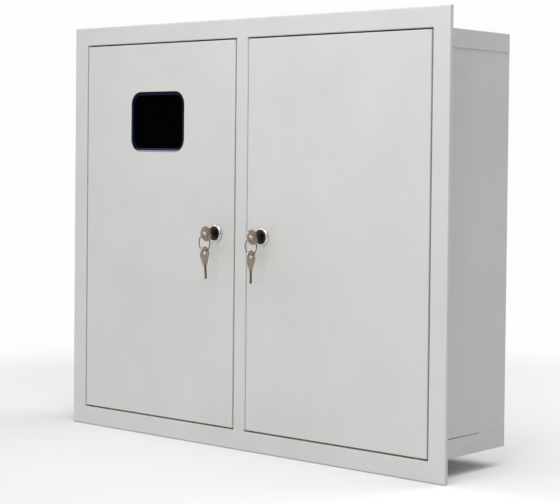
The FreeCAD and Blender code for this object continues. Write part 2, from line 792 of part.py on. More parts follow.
def key(label):
    """A flat key: round bow, tapered neck and notched blade; Y runs from the shoulder to the tip."""
    body = new_body(label)
    bow_y = "key_bow_radius * cos(key_bow_blend) - key_bow_reach"
    bow_z = "key_bow_radius * sin(key_bow_blend)"
    corners = [
        ("0", "0 - key_neck_half"),
        ("0", "key_neck_half"),
        ("0 - key_neck_length", "key_neck_half"),
        (bow_y, bow_z),
        (bow_y, f"0 - {bow_z}"),
        ("0 - key_neck_length", "0 - key_neck_half"),
    ]
    half = "(key_thick / 2)"
    slab(body, "YZ", f"0 - {half}", half, lambda sketch: outline(
        sketch, corners, {3: ("0 - key_bow_reach - key_bow_radius", "0")}))
    blade = [("0", "key_blade_half"), ("0", "0 - key_blade_half")]
    for index in range(1, 4):
        place_y = f"{index} * key_notch_pitch"
        blade.append((f"{place_y} - key_notch", "0 - key_blade_half"))
        blade.append((place_y, "key_notch - key_blade_half"))
        blade.append((f"{place_y} + key_notch", "0 - key_blade_half"))
    blade.append(("key_blade_length - key_blade_half / 2", "0 - key_blade_half"))
    blade.append(("key_blade_length", "0 - key_blade_half / 2"))
    blade.append(("key_blade_length", "key_blade_half / 2"))
    blade.append(("key_blade_length - key_blade_half / 2", "key_blade_half"))
    slab(body, "YZ", f"0 - {half}", half, lambda sketch: outline(sketch, blade))
    cut(body, "YZ", f"0 - {half}", half, lambda sketch: circle(
        sketch, "0 - key_bow_reach - key_hole_offset", "0", "key_hole_radius"))
    return body


RING_TOP_Y = f"({FRONT} + {SHOULDER} - key_bow_reach - key_hole_offset)"


def keys_and_ring(hand):
    """The key in the lock, a ring through its bow and the spare key that hangs on the ring."""
    x, z = lock_place(hand)
    inserted = key(f"{hand}_key")
    node(f"{hand}_key", place(inserted, x, f"{FRONT} + {SHOULDER}", z))
    ring = new_body(f"{hand}_key_ring")
    sketch = new_sketch(ring, "XY", "0")
    rectangle(sketch, "ring_radius - ring_wire", "ring_radius + ring_wire",
              "0 - ring_half_width", "ring_half_width")
    revolve(ring, sketch)
    node(f"{hand}_key_ring", place(ring, x, RING_TOP_Y, f"{z} - ring_hang - ring_radius"))
    spare = key(f"{hand}_spare_key")
    spare.Placement.Rotation = FreeCAD.Rotation(FreeCAD.Vector(1, 0, 0), -90)
    hole_z = f"({z} - ring_hang - 2 * ring_radius - key_hole_radius + ring_wire + sheet_gap)"
    node(f"{hand}_spare_key", place(spare, x, RING_TOP_Y, f"{hole_z} - key_bow_reach - key_hole_offset"))


def profile_piece(label, corners, low, high):
    """A folded or rolled section of constant outline, standing along Z."""
    body = new_body(label)
    slab(body, "XY", low, high, lambda sketch: outline(sketch, corners))
    return body


DIVIDER_RIGHT = "(mullion_centre + divider_sheet)"
COVER_BACK = f"({COVER_FRONT} + cover_sheet)"
DIVIDER_TOP = f"({ROOF_IN} - cable_gap)"


def divider():
    """Sheet between the compartments, flanged on the back panel and at the front for the cover."""
    right = DIVIDER_RIGHT
    flange = "(mullion_centre + angle_flange)"
    corners = [
        ("mullion_centre", COVER_BACK),
        (flange, COVER_BACK),
        (flange, f"{COVER_BACK} + divider_sheet"),
        (right, f"{COVER_BACK} + divider_sheet"),
        (right, f"{BACK_IN} - divider_sheet"),
        (flange, f"{BACK_IN} - divider_sheet"),
        (flange, BACK_IN),
        ("mullion_centre", BACK_IN),
    ]
    body = profile_piece("divider", corners, f"-{DIVIDER_TOP}", DIVIDER_TOP)
    cover_screw_holes(body, COVER_BACK, f"{COVER_BACK} + divider_sheet", "left")
    return node("divider", body)


def cover_screw_x(side):
    if side == "left":
        return "(mullion_centre + cover_screw_inset)"
    return f"({SIDE_IN} - cover_screw_inset)"


def cover_screw_holes(body, low, high, *sides):
    """Clearance holes for the cover's screws."""
    cut(body, "XZ", low, high, lambda sketch: [
        circle(sketch, cover_screw_x(side), f"{up}{COVER_SCREW_LEVEL}", "cover_screw_radius + hole_clearance")
        for side in sides for up in ("-", "")])


def angle(label, side, front, half_height):
    """An angle whose leg is welded to a wall and whose flange faces the door."""
    if side == "right":
        wall, way = SIDE_IN, "-"
    else:
        wall, way = DIVIDER_RIGHT, "+"
    inner = f"({wall} {way} angle_sheet)"
    tip = f"({wall} {way} angle_flange)"
    corners = [
        (wall, front),
        (tip, front),
        (tip, f"{front} + angle_sheet"),
        (inner, f"{front} + angle_sheet"),
        (inner, f"{front} + angle_leg"),
        (wall, f"{front} + angle_leg"),
    ]
    return profile_piece(label, corners, f"-{half_height}", half_height)


ROWS = ("1.5", "0.5", "-0.5", "-1.5")


def din_rails():
    """Four top-hat rails across the breaker compartment."""
    left = f"({DIVIDER_RIGHT} + rail_end_gap)"
    right = f"({SIDE_IN} - rail_end_gap)"
    web = "(rail_web / 2)"
    half = "(rail_height / 2)"
    rim = f"({RAIL_FRONT} + rail_sheet)"
    floor = f"({RAIL_BACK} - rail_sheet)"
    upper = [
        (RAIL_FRONT, half),
        (RAIL_FRONT, f"{web} - rail_sheet"),
        (floor, f"{web} - rail_sheet"),
    ]
    lower = [(y, f"0 - ({z})") for y, z in reversed(upper)]
    back = [(RAIL_BACK, web), (rim, web), (rim, half)]
    back_low = [(y, f"0 - ({z})") for y, z in reversed(back)]
    corners = upper + lower + back_low + back
    for index, row in enumerate(ROWS, start=1):
        body = new_body(f"din_rail_{index}")
        slab(body, "YZ", left, right, lambda sketch: outline(sketch, corners))
        for x in (f"{left} + angle_flange / 2", f"{right} - angle_flange / 2"):
            cut(body, "XZ", floor, RAIL_BACK, lambda sketch, x=x: circle(
                sketch, x, "0", "rail_screw_radius + hole_clearance"))
        node(f"din_rail_{index}", place(body, z=f"{row} * {ROW_SPACING}"))


def rail_screw_x():
    inset = "(rail_end_gap + angle_flange / 2)"
    return f"({DIVIDER_RIGHT} + {inset})", f"({SIDE_IN} - {inset})"


def rail_screws():
    """The screws that hold the rails to their angles."""
    floor = f"({RAIL_BACK} - rail_sheet)"
    screws = []
    for row in ROWS:
        for x in rail_screw_x():
            screws.append(screw(f"rail_screw_{len(screws)}", "rail_screw_radius",
                                "rail_sheet + angle_sheet + screw_tail", "rail_screw_flats", "rail_screw_head",
                                x, floor, f"{row} * {ROW_SPACING}"))
    return group("rail_screws", screws)


def rail_angle(side):
    body = angle(f"{side}_rail_angle", side, RAIL_BACK, RAIL_ANGLE_TOP)
    x = rail_screw_x()[0 if side == "left" else 1]
    cut(body, "XZ", RAIL_BACK, f"{RAIL_BACK} + angle_sheet", lambda sketch: [
        circle(sketch, x, f"{row} * {ROW_SPACING}", "rail_screw_radius + hole_clearance") for row in ROWS])
    return node(f"{side}_rail_angle", body)


def cover_angle():
    body = angle("cover_angle", "right", COVER_BACK, COVER_ANGLE_TOP)
    cover_screw_holes(body, COVER_BACK, f"{COVER_BACK} + angle_sheet", "right")
    return node("cover_angle", body)


def cover_plate():
    """The false front over the breakers, with a slot in front of each rail."""
    body = new_body("cover_plate")
    left = "mullion_centre"
    right = f"({SIDE_IN} - cover_margin)"
    slab(body, "XZ", COVER_FRONT, COVER_BACK, lambda sketch: rectangle(
        sketch, left, right, f"-{COVER_TOP}", COVER_TOP))

    def slots(sketch):
        for row in ROWS:
            level = f"{row} * {ROW_SPACING}"
            rectangle(sketch, "mullion_centre + slot_margin", f"{SIDE_IN} - slot_margin",
                      f"{level} - slot_height / 2", f"{level} + slot_height / 2")

    cut(body, "XZ", COVER_FRONT, COVER_BACK, slots)
    cover_screw_holes(body, COVER_FRONT, COVER_BACK, "left", "right")
    return node("cover_plate", body)


def cover_screws():
    screws = []
    for side in ("left", "right"):
        for up in ("-", ""):
            screws.append(screw(f"cover_screw_{len(screws)}", "cover_screw_radius",
                                "cover_sheet + angle_sheet + screw_tail", "cover_screw_flats",
                                "cover_screw_head", cover_screw_x(side), COVER_FRONT,
                                f"{up}{COVER_SCREW_LEVEL}"))
    return group("cover_screws", screws)


PANEL_BACK = f"({PANEL_FRONT} + panel_sheet)"


def panel_screw_places():
    return [(x, f"{up}{PANEL_SCREW_LEVEL}") for x in bracket_places() for up in ("-", "")]


def bracket_places():
    return [f"({PANEL_LEFT} + bracket_inset)", f"({PANEL_RIGHT} - bracket_inset)"]


def meter_panel():
    """Slotted plate for the meter and its breaker, with folded side rims."""
    body = new_body("meter_panel")
    low, high = f"-{PANEL_TOP}", PANEL_TOP
    slab(body, "XZ", PANEL_FRONT, f"{PANEL_FRONT} + panel_fold",
         lambda sketch: rectangle(sketch, PANEL_LEFT, PANEL_RIGHT, low, high))
    cut(body, "XZ", PANEL_BACK, f"{PANEL_FRONT} + panel_fold", lambda sketch: rectangle(
        sketch, f"{PANEL_LEFT} + panel_sheet", f"{PANEL_RIGHT} - panel_sheet", low, high))

    def slots(sketch):
        half = "(panel_slot_width / 2)"
        for across in (-1, 1):
            x = f"(({PANEL_LEFT} + {PANEL_RIGHT}) / 2 + {across} * panel_slot_pitch / 2)"
            for up in (-1, 1):
                z = f"({up} * panel_slot_rise)"
                rounded(sketch, f"{x} - {half}", f"{x} + {half}", f"{z} - panel_slot_length / 2",
                        f"{z} + panel_slot_length / 2", "panel_slot_round")

    cut(body, "XZ", PANEL_FRONT, PANEL_BACK, slots)
    cut(body, "XZ", PANEL_FRONT, PANEL_BACK, lambda sketch: [
        circle(sketch, x, z, "panel_screw_radius + hole_clearance") for x, z in panel_screw_places()])
    return node("meter_panel", body)


def panel_brackets():
    """Upright hat sections that stand the meter panel off the back."""
    for name, x in zip(("left", "right"), bracket_places()):
        half = "(bracket_width / 2)"
        foot = f"({half} + bracket_foot)"
        thick = "angle_sheet"
        rightwards = [
            (f"{x} + {half}", PANEL_BACK),
            (f"{x} + {half}", f"{BACK_IN} - {thick}"),
            (f"{x} + {foot}", f"{BACK_IN} - {thick}"),
            (f"{x} + {foot}", BACK_IN),
            (f"{x} + {half} - {thick}", BACK_IN),
            (f"{x} + {half} - {thick}", f"{PANEL_BACK} + {thick}"),
        ]
        leftwards = [(text.replace(f"{x} + ", f"{x} - ").replace(f" - {thick}", f" + {thick}"), y)
                     for text, y in reversed(rightwards)]
        body = profile_piece(f"{name}_panel_bracket", rightwards + leftwards,
                             f"-{BRACKET_TOP}", BRACKET_TOP)
        cut(body, "XZ", PANEL_BACK, f"{PANEL_BACK} + {thick}", lambda sketch, x=x: [
            circle(sketch, x, f"{up}{PANEL_SCREW_LEVEL}", "panel_screw_radius + hole_clearance")
            for up in ("-", "")])
        node(f"{name}_panel_bracket", body)


def panel_screws():
    screws = [screw(f"panel_screw_{index}", "panel_screw_radius", "panel_sheet + angle_sheet + screw_tail",
                    "panel_screw_flats", "panel_screw_head", x, PANEL_FRONT, z)
              for index, (x, z) in enumerate(panel_screw_places())]
    return group("panel_screws", screws)


def terminal_bars():
    """Neutral bar above and earth bar below, each on two holders with a row of screws."""
    middle = f"((mullion_centre + {SIDE_IN}) / 2)"
    bar_back = f"({BACK_IN} - bar_standoff)"
    bar_front = f"({bar_back} - bar_depth)"
    first = f"({middle} - (bar_count - 1) / 2 * bar_pitch)"
    for name, level in (("neutral", BAR_LEVEL), ("earth", f"-{BAR_LEVEL}")):
        bar = new_body(f"{name}_bar")
        slab(bar, "XZ", bar_front, bar_back, lambda sketch: rectangle(
            sketch, f"{middle} - bar_length / 2", f"{middle} + bar_length / 2",
            "0 - bar_height / 2", "bar_height / 2"))
        hole = cut(bar, "XZ", bar_front, bar_back,
                   lambda sketch: circle(sketch, first, "0", "bar_screw_radius + thread_clearance"))
        repeat(bar, hole, "X_Axis", "(bar_count - 1) * bar_pitch", int(number("bar_count")))
        node(f"{name}_bar", place(bar, z=level))
        holders = []
        for index, side in enumerate(("-", "+")):
            x = f"({middle} {side} (bar_length / 2 - holder_width))"
            holder = document.addObject("Part::Box", f"{name}_holder_{index}")
            holder.setExpression("Length", bound("holder_width"))
            holder.setExpression("Width", bound("bar_standoff"))
            holder.setExpression("Height", bound("holder_height"))
            place(holder, f"{x} - holder_width / 2", bar_back, f"{level} - holder_height / 2")
            holders.append(holder)
        group(f"{name}_bar_holders", holders)
        screws = [screw(f"{name}_bar_screw_{index}", "bar_screw_radius", "bar_depth", "bar_screw_flats",
                        "bar_screw_head", f"{first} + {index} * bar_pitch", bar_front, level)
                  for index in range(int(number("bar_count")))]
        group(f"{name}_bar_screws", screws)


def earth_studs():
    """Welded earth studs with nuts: one in the box and one inside each door."""
    low = f"door_stud_inset - {DOOR_TOP}"
    hinge_left, hinge_right = door_sides("left")[0], door_sides("right")[1]
    spots = {
        "box": (f"box_stud_inset - {SIDE_IN}", BACK_IN, f"box_stud_rise - {ROOF_IN}", -1),
        "left_door": (f"{hinge_left} + door_stud_inset", DOOR_INSIDE, low, 1),
        "right_door": (f"{hinge_right} - door_stud_inset", DOOR_INSIDE, low, 1),
    }
    for name, (x, y, z, way) in spots.items():
        stud = document.addObject("Part::Cylinder", f"{name}_earth_stud_part")
        stud.setExpression("Radius", bound("earth_stud_radius"))
        stud.setExpression("Height", bound("earth_stud_length"))
        stud.Placement.Rotation = FreeCAD.Rotation(FreeCAD.Vector(1, 0, 0), -90 * way)
        node(f"{name}_earth_stud", place(stud, x, y, z))
        seat = y if way > 0 else f"{y} - earth_nut_thick"
        nut = hexagon_nut(f"{name}_earth_nut_part", "earth_nut_flats", "earth_nut_thick",
                          "earth_stud_radius + thread_clearance", x, seat, z)
        node(f"{name}_earth_nut", nut)


def build():
    box_wrap()
    tray = top_tray()
    node("bottom_tray", mirrored(tray, "bottom_tray_part", (0, 0, 1)))
    front_frame()
    hinge_bushes()
    for hand in ("left", "right"):
        door(hand)
        hinge_pins(hand)
        lock_housing(hand)
        lock_nut(hand)
        lock_plug(hand)
        lock_cam(hand)
        cam_screw(hand)
        keys_and_ring(hand)
        rail_angle(hand)
    window_parts()
    divider()
    cover_angle()
    cover_plate()
    cover_screws()
    din_rails()
    rail_screws()
    meter_panel()
    panel_brackets()
    panel_screws()
    terminal_bars()
    earth_studs()
    document.recompute()


def check():
    """Every object is sound, and every pocket takes material away."""
    for item in document.Objects:
        if "Invalid" in item.State or "Error" in item.State:
            raise SystemExit(f"{item.Name} ({item.Label}) failed: {item.State}")
        if item.isDerivedFrom("PartDesign::Pocket"):
            if item.Shape.Volume > item.BaseFeature.Shape.Volume - 1e-6:
                raise SystemExit(f"{item.Name} of {item.getParentGeoFeatureGroup().Label} cuts nothing")
    for label, item in NODES.items():
        if item.Shape.isNull() or not item.Shape.isValid():
            raise SystemExit(f"{label} has no valid shape")


def write():
    os.makedirs("parts", exist_ok=True)
    for label, item in NODES.items():
        item.Shape.exportStep(os.path.join("parts", label + ".step"))


build()
check()
write()
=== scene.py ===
import json
import math

import bmesh
import bpy
from mathutils import Matrix, Vector


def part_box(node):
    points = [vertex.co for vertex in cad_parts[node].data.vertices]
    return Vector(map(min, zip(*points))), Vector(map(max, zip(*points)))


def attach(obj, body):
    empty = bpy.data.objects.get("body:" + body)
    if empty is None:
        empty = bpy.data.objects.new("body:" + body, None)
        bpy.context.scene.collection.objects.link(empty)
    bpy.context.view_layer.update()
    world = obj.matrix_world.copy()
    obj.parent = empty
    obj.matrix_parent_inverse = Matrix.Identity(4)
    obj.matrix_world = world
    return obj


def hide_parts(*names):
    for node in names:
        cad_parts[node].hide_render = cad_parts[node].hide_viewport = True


# Looks of a flush two-door meter box, laid over its solids in their own frame. X runs to the right seen
# from the front, Y into the wall and Z up. Shapes are in millimetres. The camera, the lamps, the floor and
# the materials' noise are in metres.

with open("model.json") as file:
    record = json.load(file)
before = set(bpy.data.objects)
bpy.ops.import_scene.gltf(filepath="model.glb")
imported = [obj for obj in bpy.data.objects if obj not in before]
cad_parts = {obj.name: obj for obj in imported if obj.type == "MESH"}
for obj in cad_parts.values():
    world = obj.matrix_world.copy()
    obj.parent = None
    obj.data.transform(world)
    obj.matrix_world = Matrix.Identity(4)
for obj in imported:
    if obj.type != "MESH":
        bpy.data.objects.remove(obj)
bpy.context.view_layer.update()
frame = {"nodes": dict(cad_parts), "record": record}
nodes = frame["nodes"]

MM = 0.001
FRAME_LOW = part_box("front_frame")[0]
FLANGE_FRONT = FRAME_LOW[1]
FLOOR_LEVEL = FRAME_LOW[2]


# Camera, solved from the corners of the flange, doors and box in the photograph.
# Its place is measured from the middle of the flange's lower edge, and its turns are in degrees.
CAMERA_FROM_FLANGE = Vector((1.3486, -1.4802, 0.3704))
CAMERA_YAW = 41.00
CAMERA_PITCH = -1.49
CAMERA_ROLL = 0.59
CAMERA_LENS = 103.2
CAMERA_SENSOR = 36.0
CAMERA_SHIFT_Y = -0.0991
CAMERA_REACH = 50.0


def add_object(name, data):
    """A new object of the scene that holds the data."""
    made = bpy.data.objects.new(name, data)
    bpy.context.collection.objects.link(made)
    return made


def camera_turn():
    """The camera's turn. Yaw and pitch give the line of sight, and roll leans the picture about it."""
    yaw, pitch, roll = (math.radians(turn) for turn in (CAMERA_YAW, CAMERA_PITCH, CAMERA_ROLL))
    forward = Vector((-math.sin(yaw) * math.cos(pitch), math.cos(yaw) * math.cos(pitch), math.sin(pitch)))
    level = Vector((math.cos(yaw), math.sin(yaw), 0.0))
    upward = level.cross(forward)
    right = math.cos(roll) * level + math.sin(roll) * upward
    up = math.cos(roll) * upward - math.sin(roll) * level
    return Matrix((right, up, -forward)).transposed().to_4x4()


def add_camera():
    """The camera at the photograph's place, angle and framing."""
    data = bpy.data.cameras.new("camera")
    data.lens = CAMERA_LENS
    data.sensor_width = CAMERA_SENSOR
    data.shift_y = CAMERA_SHIFT_Y
    data.clip_end = CAMERA_REACH
    camera = add_object("camera", data)
    place = Vector((0.0, FLANGE_FRONT, FLOOR_LEVEL)) + CAMERA_FROM_FLANGE
    camera.matrix_world = Matrix.Translation(place) @ camera_turn()
    bpy.context.scene.camera = camera


# Mesh helpers
SMOOTH_ANGLE = math.radians(38)
DOUBLED_DISTANCE = 0.002
PLATE_EDGE_STEPS = 2


def add_piece(name, mesh, finish, body, replaced=()):
    """A piece in the shared frame that rides on a body and may stand for some of the solids' nodes."""
    mesh.materials.clear()
    mesh.materials.append(MATERIALS[finish])
    mesh.shade_smooth()
    mesh.set_sharp_from_angle(angle=SMOOTH_ANGLE)
    piece = add_object(name, mesh)
    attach(piece, body)
    if replaced:
        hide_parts(*replaced)


def seal(form, name):
    """Joins doubled points, turns every face outward and returns the mesh."""
    bmesh.ops.remove_doubles(form, verts=form.verts, dist=DOUBLED_DISTANCE * MM)
    bmesh.ops.recalc_face_normals(form, faces=form.faces)
    mesh = bpy.data.meshes.new(name)
    form.to_mesh(mesh)
    form.free()
    return mesh


def grid_mesh(name, rows, loop=True, closed_rows=True):
    """A mesh over rows of points. The rows join up to a loop, or else the first and the last are capped."""
    form = bmesh.new()
    grid = [[form.verts.new([value * MM for value in point]) for point in row] for row in rows]
    count = len(grid)
    width = len(grid[0])
    for i in range(count if loop else count - 1):
        near, far = grid[i], grid[(i + 1) % count]
        for j in range(width if closed_rows else width - 1):
            form.faces.new((near[j], near[(j + 1) % width], far[(j + 1) % width], far[j]))
    if not loop:
        form.faces.new(grid[0][::-1])
        form.faces.new(grid[-1])
    return seal(form, name)


def join(name, meshes):
    """One mesh from several."""
    form = bmesh.new()
    for mesh in meshes:
        form.from_mesh(mesh)
    whole = bpy.data.meshes.new(name)
    form.to_mesh(whole)
    form.free()
    return whole


def lathe(name, profile, centre, axis="Y", turns=96, flat=None):
    """A profile of (radius, distance along the axis) turned about an axis through centre.

    Where flat is given, the turned form is cut to that half width wherever it lies behind the centre."""
    rows = []
    for index in range(turns):
        angle = 2 * math.pi * index / turns
        row = []
        for radius, along in profile:
            across = radius * math.cos(angle)
            upward = radius * math.sin(angle)
            if flat and along > 0:
                across = max(-flat, min(flat, across))
            shift = (across, along, upward) if axis == "Y" else (along, across, upward)
            row.append([start + move for start, move in zip(centre, shift)])
        rows.append(row)
    return grid_mesh(name, rows, closed_rows=profile[0][0] > 0)


def plate(name, outlines, thickness, bevel):
    """A flat plate with rounded edges in the local XY plane: the first outline with the others as holes."""
    data = bpy.data.curves.new(name, "CURVE")
    data.dimensions = "2D"
    data.fill_mode = "BOTH"
    data.extrude = (thickness / 2 - bevel) * MM
    data.bevel_depth = bevel * MM
    data.bevel_resolution = PLATE_EDGE_STEPS
    data.offset = -bevel * MM
    for outline in outlines:
        spline = data.splines.new("POLY")
        spline.points.add(len(outline) - 1)
        for point, (x, y) in zip(spline.points, outline):
            point.co = (x * MM, y * MM, 0.0, 1.0)
        spline.use_cyclic_u = True
    holder = bpy.data.objects.new(name, data)
    mesh = bpy.data.meshes.new_from_object(holder)
    bpy.data.objects.remove(holder)
    bpy.data.curves.remove(data)
    return mesh


def placed(mesh, along, across, origin):
    """The mesh with its local X and Y turned to two directions and its origin set."""
    along = Vector(along).normalized()
    across = Vector(across).normalized()
    turn = Matrix((along, across, along.cross(across))).transposed().to_4x4()
    mesh.transform(Matrix.Translation(Vector(origin) * MM) @ turn)
    return mesh


def turn_about(mesh, centre, axis, degrees):
    """Turns the mesh about a line through centre."""
    shift = Matrix.Translation(Vector(centre) * MM)
    mesh.transform(shift @ Matrix.Rotation(math.radians(degrees), 4, axis) @ shift.inverted())


def circle_outline(centre, radius, steps=32):
    """A circle about a place on the local X axis."""
    angles = [2 * math.pi * index / steps for index in range(steps)]
    return [(centre + radius * math.cos(angle), radius * math.sin(angle)) for angle in angles]


def slot_outline(tall, half, steps=10):
    """A slot with round ends, tall along local X."""
    points = []
    for end in (1, -1):
        for index in range(steps + 1):
            angle = -math.pi / 2 + math.pi * index / steps
            points.append((end * (tall - half + half * math.cos(angle)), end * half * math.sin(angle)))
    return points


def middle(node):
    """The middle of a node's box."""
    low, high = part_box(node)
    return (low + high) / 2 / MM


# Materials. Noise and bands are counted in waves per metre, and bumps have their depth in metres.
FINE_BUMP = 0.0002
WHITE = (1.0, 1.0, 1.0)
EVEN = (1.0, 1.0, 1.0)
# Places of the sockets that a mix node uses when it mixes colours.
MIX_SHARE = 0
MIX_FIRST = 6
MIX_SECOND = 7
MIX_RESULT = 2


class Material:
    """A node material with short calls for the nodes it is made of."""

    def __init__(self, name):
        self.data = bpy.data.materials.new(name)
        self.data.use_nodes = True
        self.tree = self.data.node_tree
        self.shader = self.tree.nodes["Principled BSDF"]

    def node(self, kind, **settings):
        """A new node, with each setting put on its socket of that name or else on the node itself."""
        made = self.tree.nodes.new(kind)
        for key, value in settings.items():
            if key in made.inputs:
                made.inputs[key].default_value = value
            else:
                setattr(made, key, value)
        return made

    def link(self, source, target):
        self.tree.links.new(source, target)

    def coordinates(self, stretch=EVEN):
        """The piece's own coordinates, stretched along each axis."""
        place = self.node("ShaderNodeTexCoord")
        mapping = self.node("ShaderNodeMapping", Scale=stretch)
        self.link(place.outputs["Object"], mapping.inputs["Vector"])
        return mapping.outputs["Vector"]

    def noise(self, scale, detail=4.0, stretch=EVEN):
        made = self.node("ShaderNodeTexNoise", Scale=scale, Detail=detail, Roughness=0.55)
        self.link(self.coordinates(stretch), made.inputs["Vector"])
        return made.outputs["Fac"]

    def ramp(self, factor, stops):
        """Colours along a factor, from stops of (place, colour)."""
        made = self.node("ShaderNodeValToRGB")
        elements = made.color_ramp.elements
        while len(elements) < len(stops):
            elements.new(0.5)
        for element, (place, colour) in zip(elements, stops):
            element.position = place
            element.color = (*colour, 1.0)
        self.link(factor, made.inputs["Fac"])
        return made.outputs["Color"]

    def scaled(self, factor, low, high):
        made = self.node("ShaderNodeMapRange")
        made.inputs["To Min"].default_value = low
        made.inputs["To Max"].default_value = high
        self.link(factor, made.inputs["Value"])
        return made.outputs["Result"]

    def blend(self, share, first, second, kind="MIX"):
        """The first colour with a share of the second mixed or multiplied in."""
        made = self.node("ShaderNodeMix", data_type="RGBA", blend_type=kind)
        made.inputs[MIX_SHARE].default_value = share
        self.link(first, made.inputs[MIX_FIRST])
        self.link(second, made.inputs[MIX_SECOND])
        return made.outputs[MIX_RESULT]

    def bump(self, height, strength, depth=FINE_BUMP, before=None):
        made = self.node("ShaderNodeBump", Strength=strength, Distance=depth)
        self.link(height, made.inputs["Height"])
        if before:
            self.link(before, made.inputs["Normal"])
        return made.outputs["Normal"]

    def finish(self, colour, roughness, normal, **plain):
        """Links the three that vary over the surface, sets the plain ones and returns the material."""
        for socket, value in (("Base Color", colour), ("Roughness", roughness), ("Normal", normal)):
            self.link(value, self.shader.inputs[socket])
        for socket, value in plain.items():
            self.shader.inputs[socket.replace("_", " ")].default_value = value
        return self.data


def tones(colour, *factors):
    """The colour made darker or lighter by each factor."""
    return [tuple(channel * factor for channel in colour) for factor in factors]


def powder_coat(name, colour):
    """Semi-gloss powder paint: orange peel, a faint cloudiness and fine specks."""
    made = Material(name)
    speck_tone, dark, plain, light = tones(colour, 0.9, 0.965, 1.0, 1.03)
    cloud = made.ramp(made.noise(scale=9.0, detail=3.0), [(0.3, dark), (0.5, plain), (0.72, light)])
    specks = made.ramp(made.noise(scale=1500.0, detail=2.0), [(0.28, speck_tone), (0.36, WHITE)])
    base = made.blend(0.35, cloud, specks, "MULTIPLY")
    peel = made.bump(made.noise(scale=2600.0, detail=2.0), strength=0.10)
    wave = made.bump(made.noise(scale=16.0, detail=1.0), strength=0.06, depth=0.0015, before=peel)
    rough = made.scaled(made.noise(scale=60.0), low=0.40, high=0.50)
    return made.finish(base, rough, wave, Specular_IOR_Level=0.42)


def bare_metal(name, colour, low, high, scratch=(1.0, 1.0, 60.0), cloud_scale=60.0, strength=0.12):
    """Metal with drawn scratches along one axis and a blotchy tone, between two roughnesses."""
    made = Material(name)
    dark, plain, light = tones(colour, 0.78, 1.0, 1.12)
    cloud = made.noise(cloud_scale, detail=6.0)
    base = made.ramp(cloud, [(0.25, dark), (0.5, plain), (0.75, light)])
    lines = made.noise(scale=260.0, detail=8.0, stretch=scratch)
    rough = made.scaled(made.blend(0.5, cloud, lines), low, high)
    return made.finish(base, rough, made.bump(lines, strength), Metallic=1.0)


def zinc_plate(name):
    """Bright zinc with its faint crystal pattern."""
    made = Material(name)
    crystals = made.node("ShaderNodeTexVoronoi", Scale=170.0, Randomness=1.0)
    made.link(made.coordinates(), crystals.inputs["Vector"])
    grey = made.ramp(crystals.outputs["Color"], [(0.0, (0.30, 0.31, 0.32)), (1.0, (0.42, 0.43, 0.44))])
    stain = made.ramp(made.noise(scale=25.0), [(0.35, (0.86, 0.85, 0.80)), (0.6, WHITE)])
    base = made.blend(0.8, grey, stain, "MULTIPLY")
    rough = made.scaled(made.noise(scale=90.0), low=0.38, high=0.56)
    return made.finish(base, rough, made.bump(made.noise(scale=420.0), strength=0.08), Metallic=1.0)


def chrome_plate(name):
    """Polished plate with hairline scratches and a slight waviness."""
    made = Material(name)
    base = made.ramp(made.noise(scale=120.0), [(0.3, (0.60, 0.60, 0.61)), (0.7, (0.72, 0.72, 0.73))])
    hairlines = made.noise(scale=500.0, detail=10.0, stretch=(1.0, 1.0, 14.0))
    rough = made.scaled(hairlines, low=0.05, high=0.17)
    normal = made.bump(made.noise(scale=70.0, detail=1.0), strength=0.05, depth=0.0003)
    return made.finish(base, rough, normal, Metallic=1.0)


def moulded(name, colour, low, high, **gloss):
    """Moulded plastic or rubber with a fine matt grain, between two roughnesses."""
    made = Material(name)
    dark, plain, light = tones(colour, 0.85, 1.0, 1.12)
    base = made.ramp(made.noise(scale=35.0), [(0.3, dark), (0.5, plain), (0.7, light)])
    rough = made.scaled(made.noise(scale=300.0), low, high)
    normal = made.bump(made.noise(scale=1800.0, detail=2.0), strength=0.12)
    return made.finish(base, rough, normal, **gloss)


def wafer_metal(name):
    """Dark core with brown bands painted in as glints of reflected light."""
    made = Material(name)
    bands = made.node("ShaderNodeTexWave", Scale=95.0, Distortion=7.0, Detail=2.0)
    bands.inputs["Detail Scale"].default_value = 1.6
    made.link(made.coordinates(), bands.inputs["Vector"])
    # The brown stop of the bands is a painted reflection: glints on the dark face.
    base = made.ramp(bands.outputs["Fac"], [(0.35, (0.005, 0.004, 0.004)), (0.8, (0.07, 0.04, 0.034))])
    rough = made.scaled(made.noise(scale=200.0, detail=6.0), low=0.24, high=0.45)
    normal = made.bump(bands.outputs["Fac"], strength=0.3)
    return made.finish(base, rough, normal, Metallic=0.85)


def shade_black_pane(name):
    """Nearly opaque near-black acrylic, its tint painted shade of the dark box behind the window: gloss,
    faint haze and a trace of dust.
    """
    made = Material(name)
    # Near-black tints: painted shade of the dark inside that shows through the window.
    tints = [(0.3, (0.0002, 0.0002, 0.0004)), (0.7, (0.0005, 0.0005, 0.0008))]
    base = made.ramp(made.noise(scale=12.0), tints)
    rough = made.scaled(made.noise(scale=700.0, detail=6.0), low=0.10, high=0.18)
    normal = made.bump(made.noise(scale=18.0, detail=1.0), strength=0.02, depth=0.0006)
    return made.finish(base, rough, normal, Specular_IOR_Level=0.004)
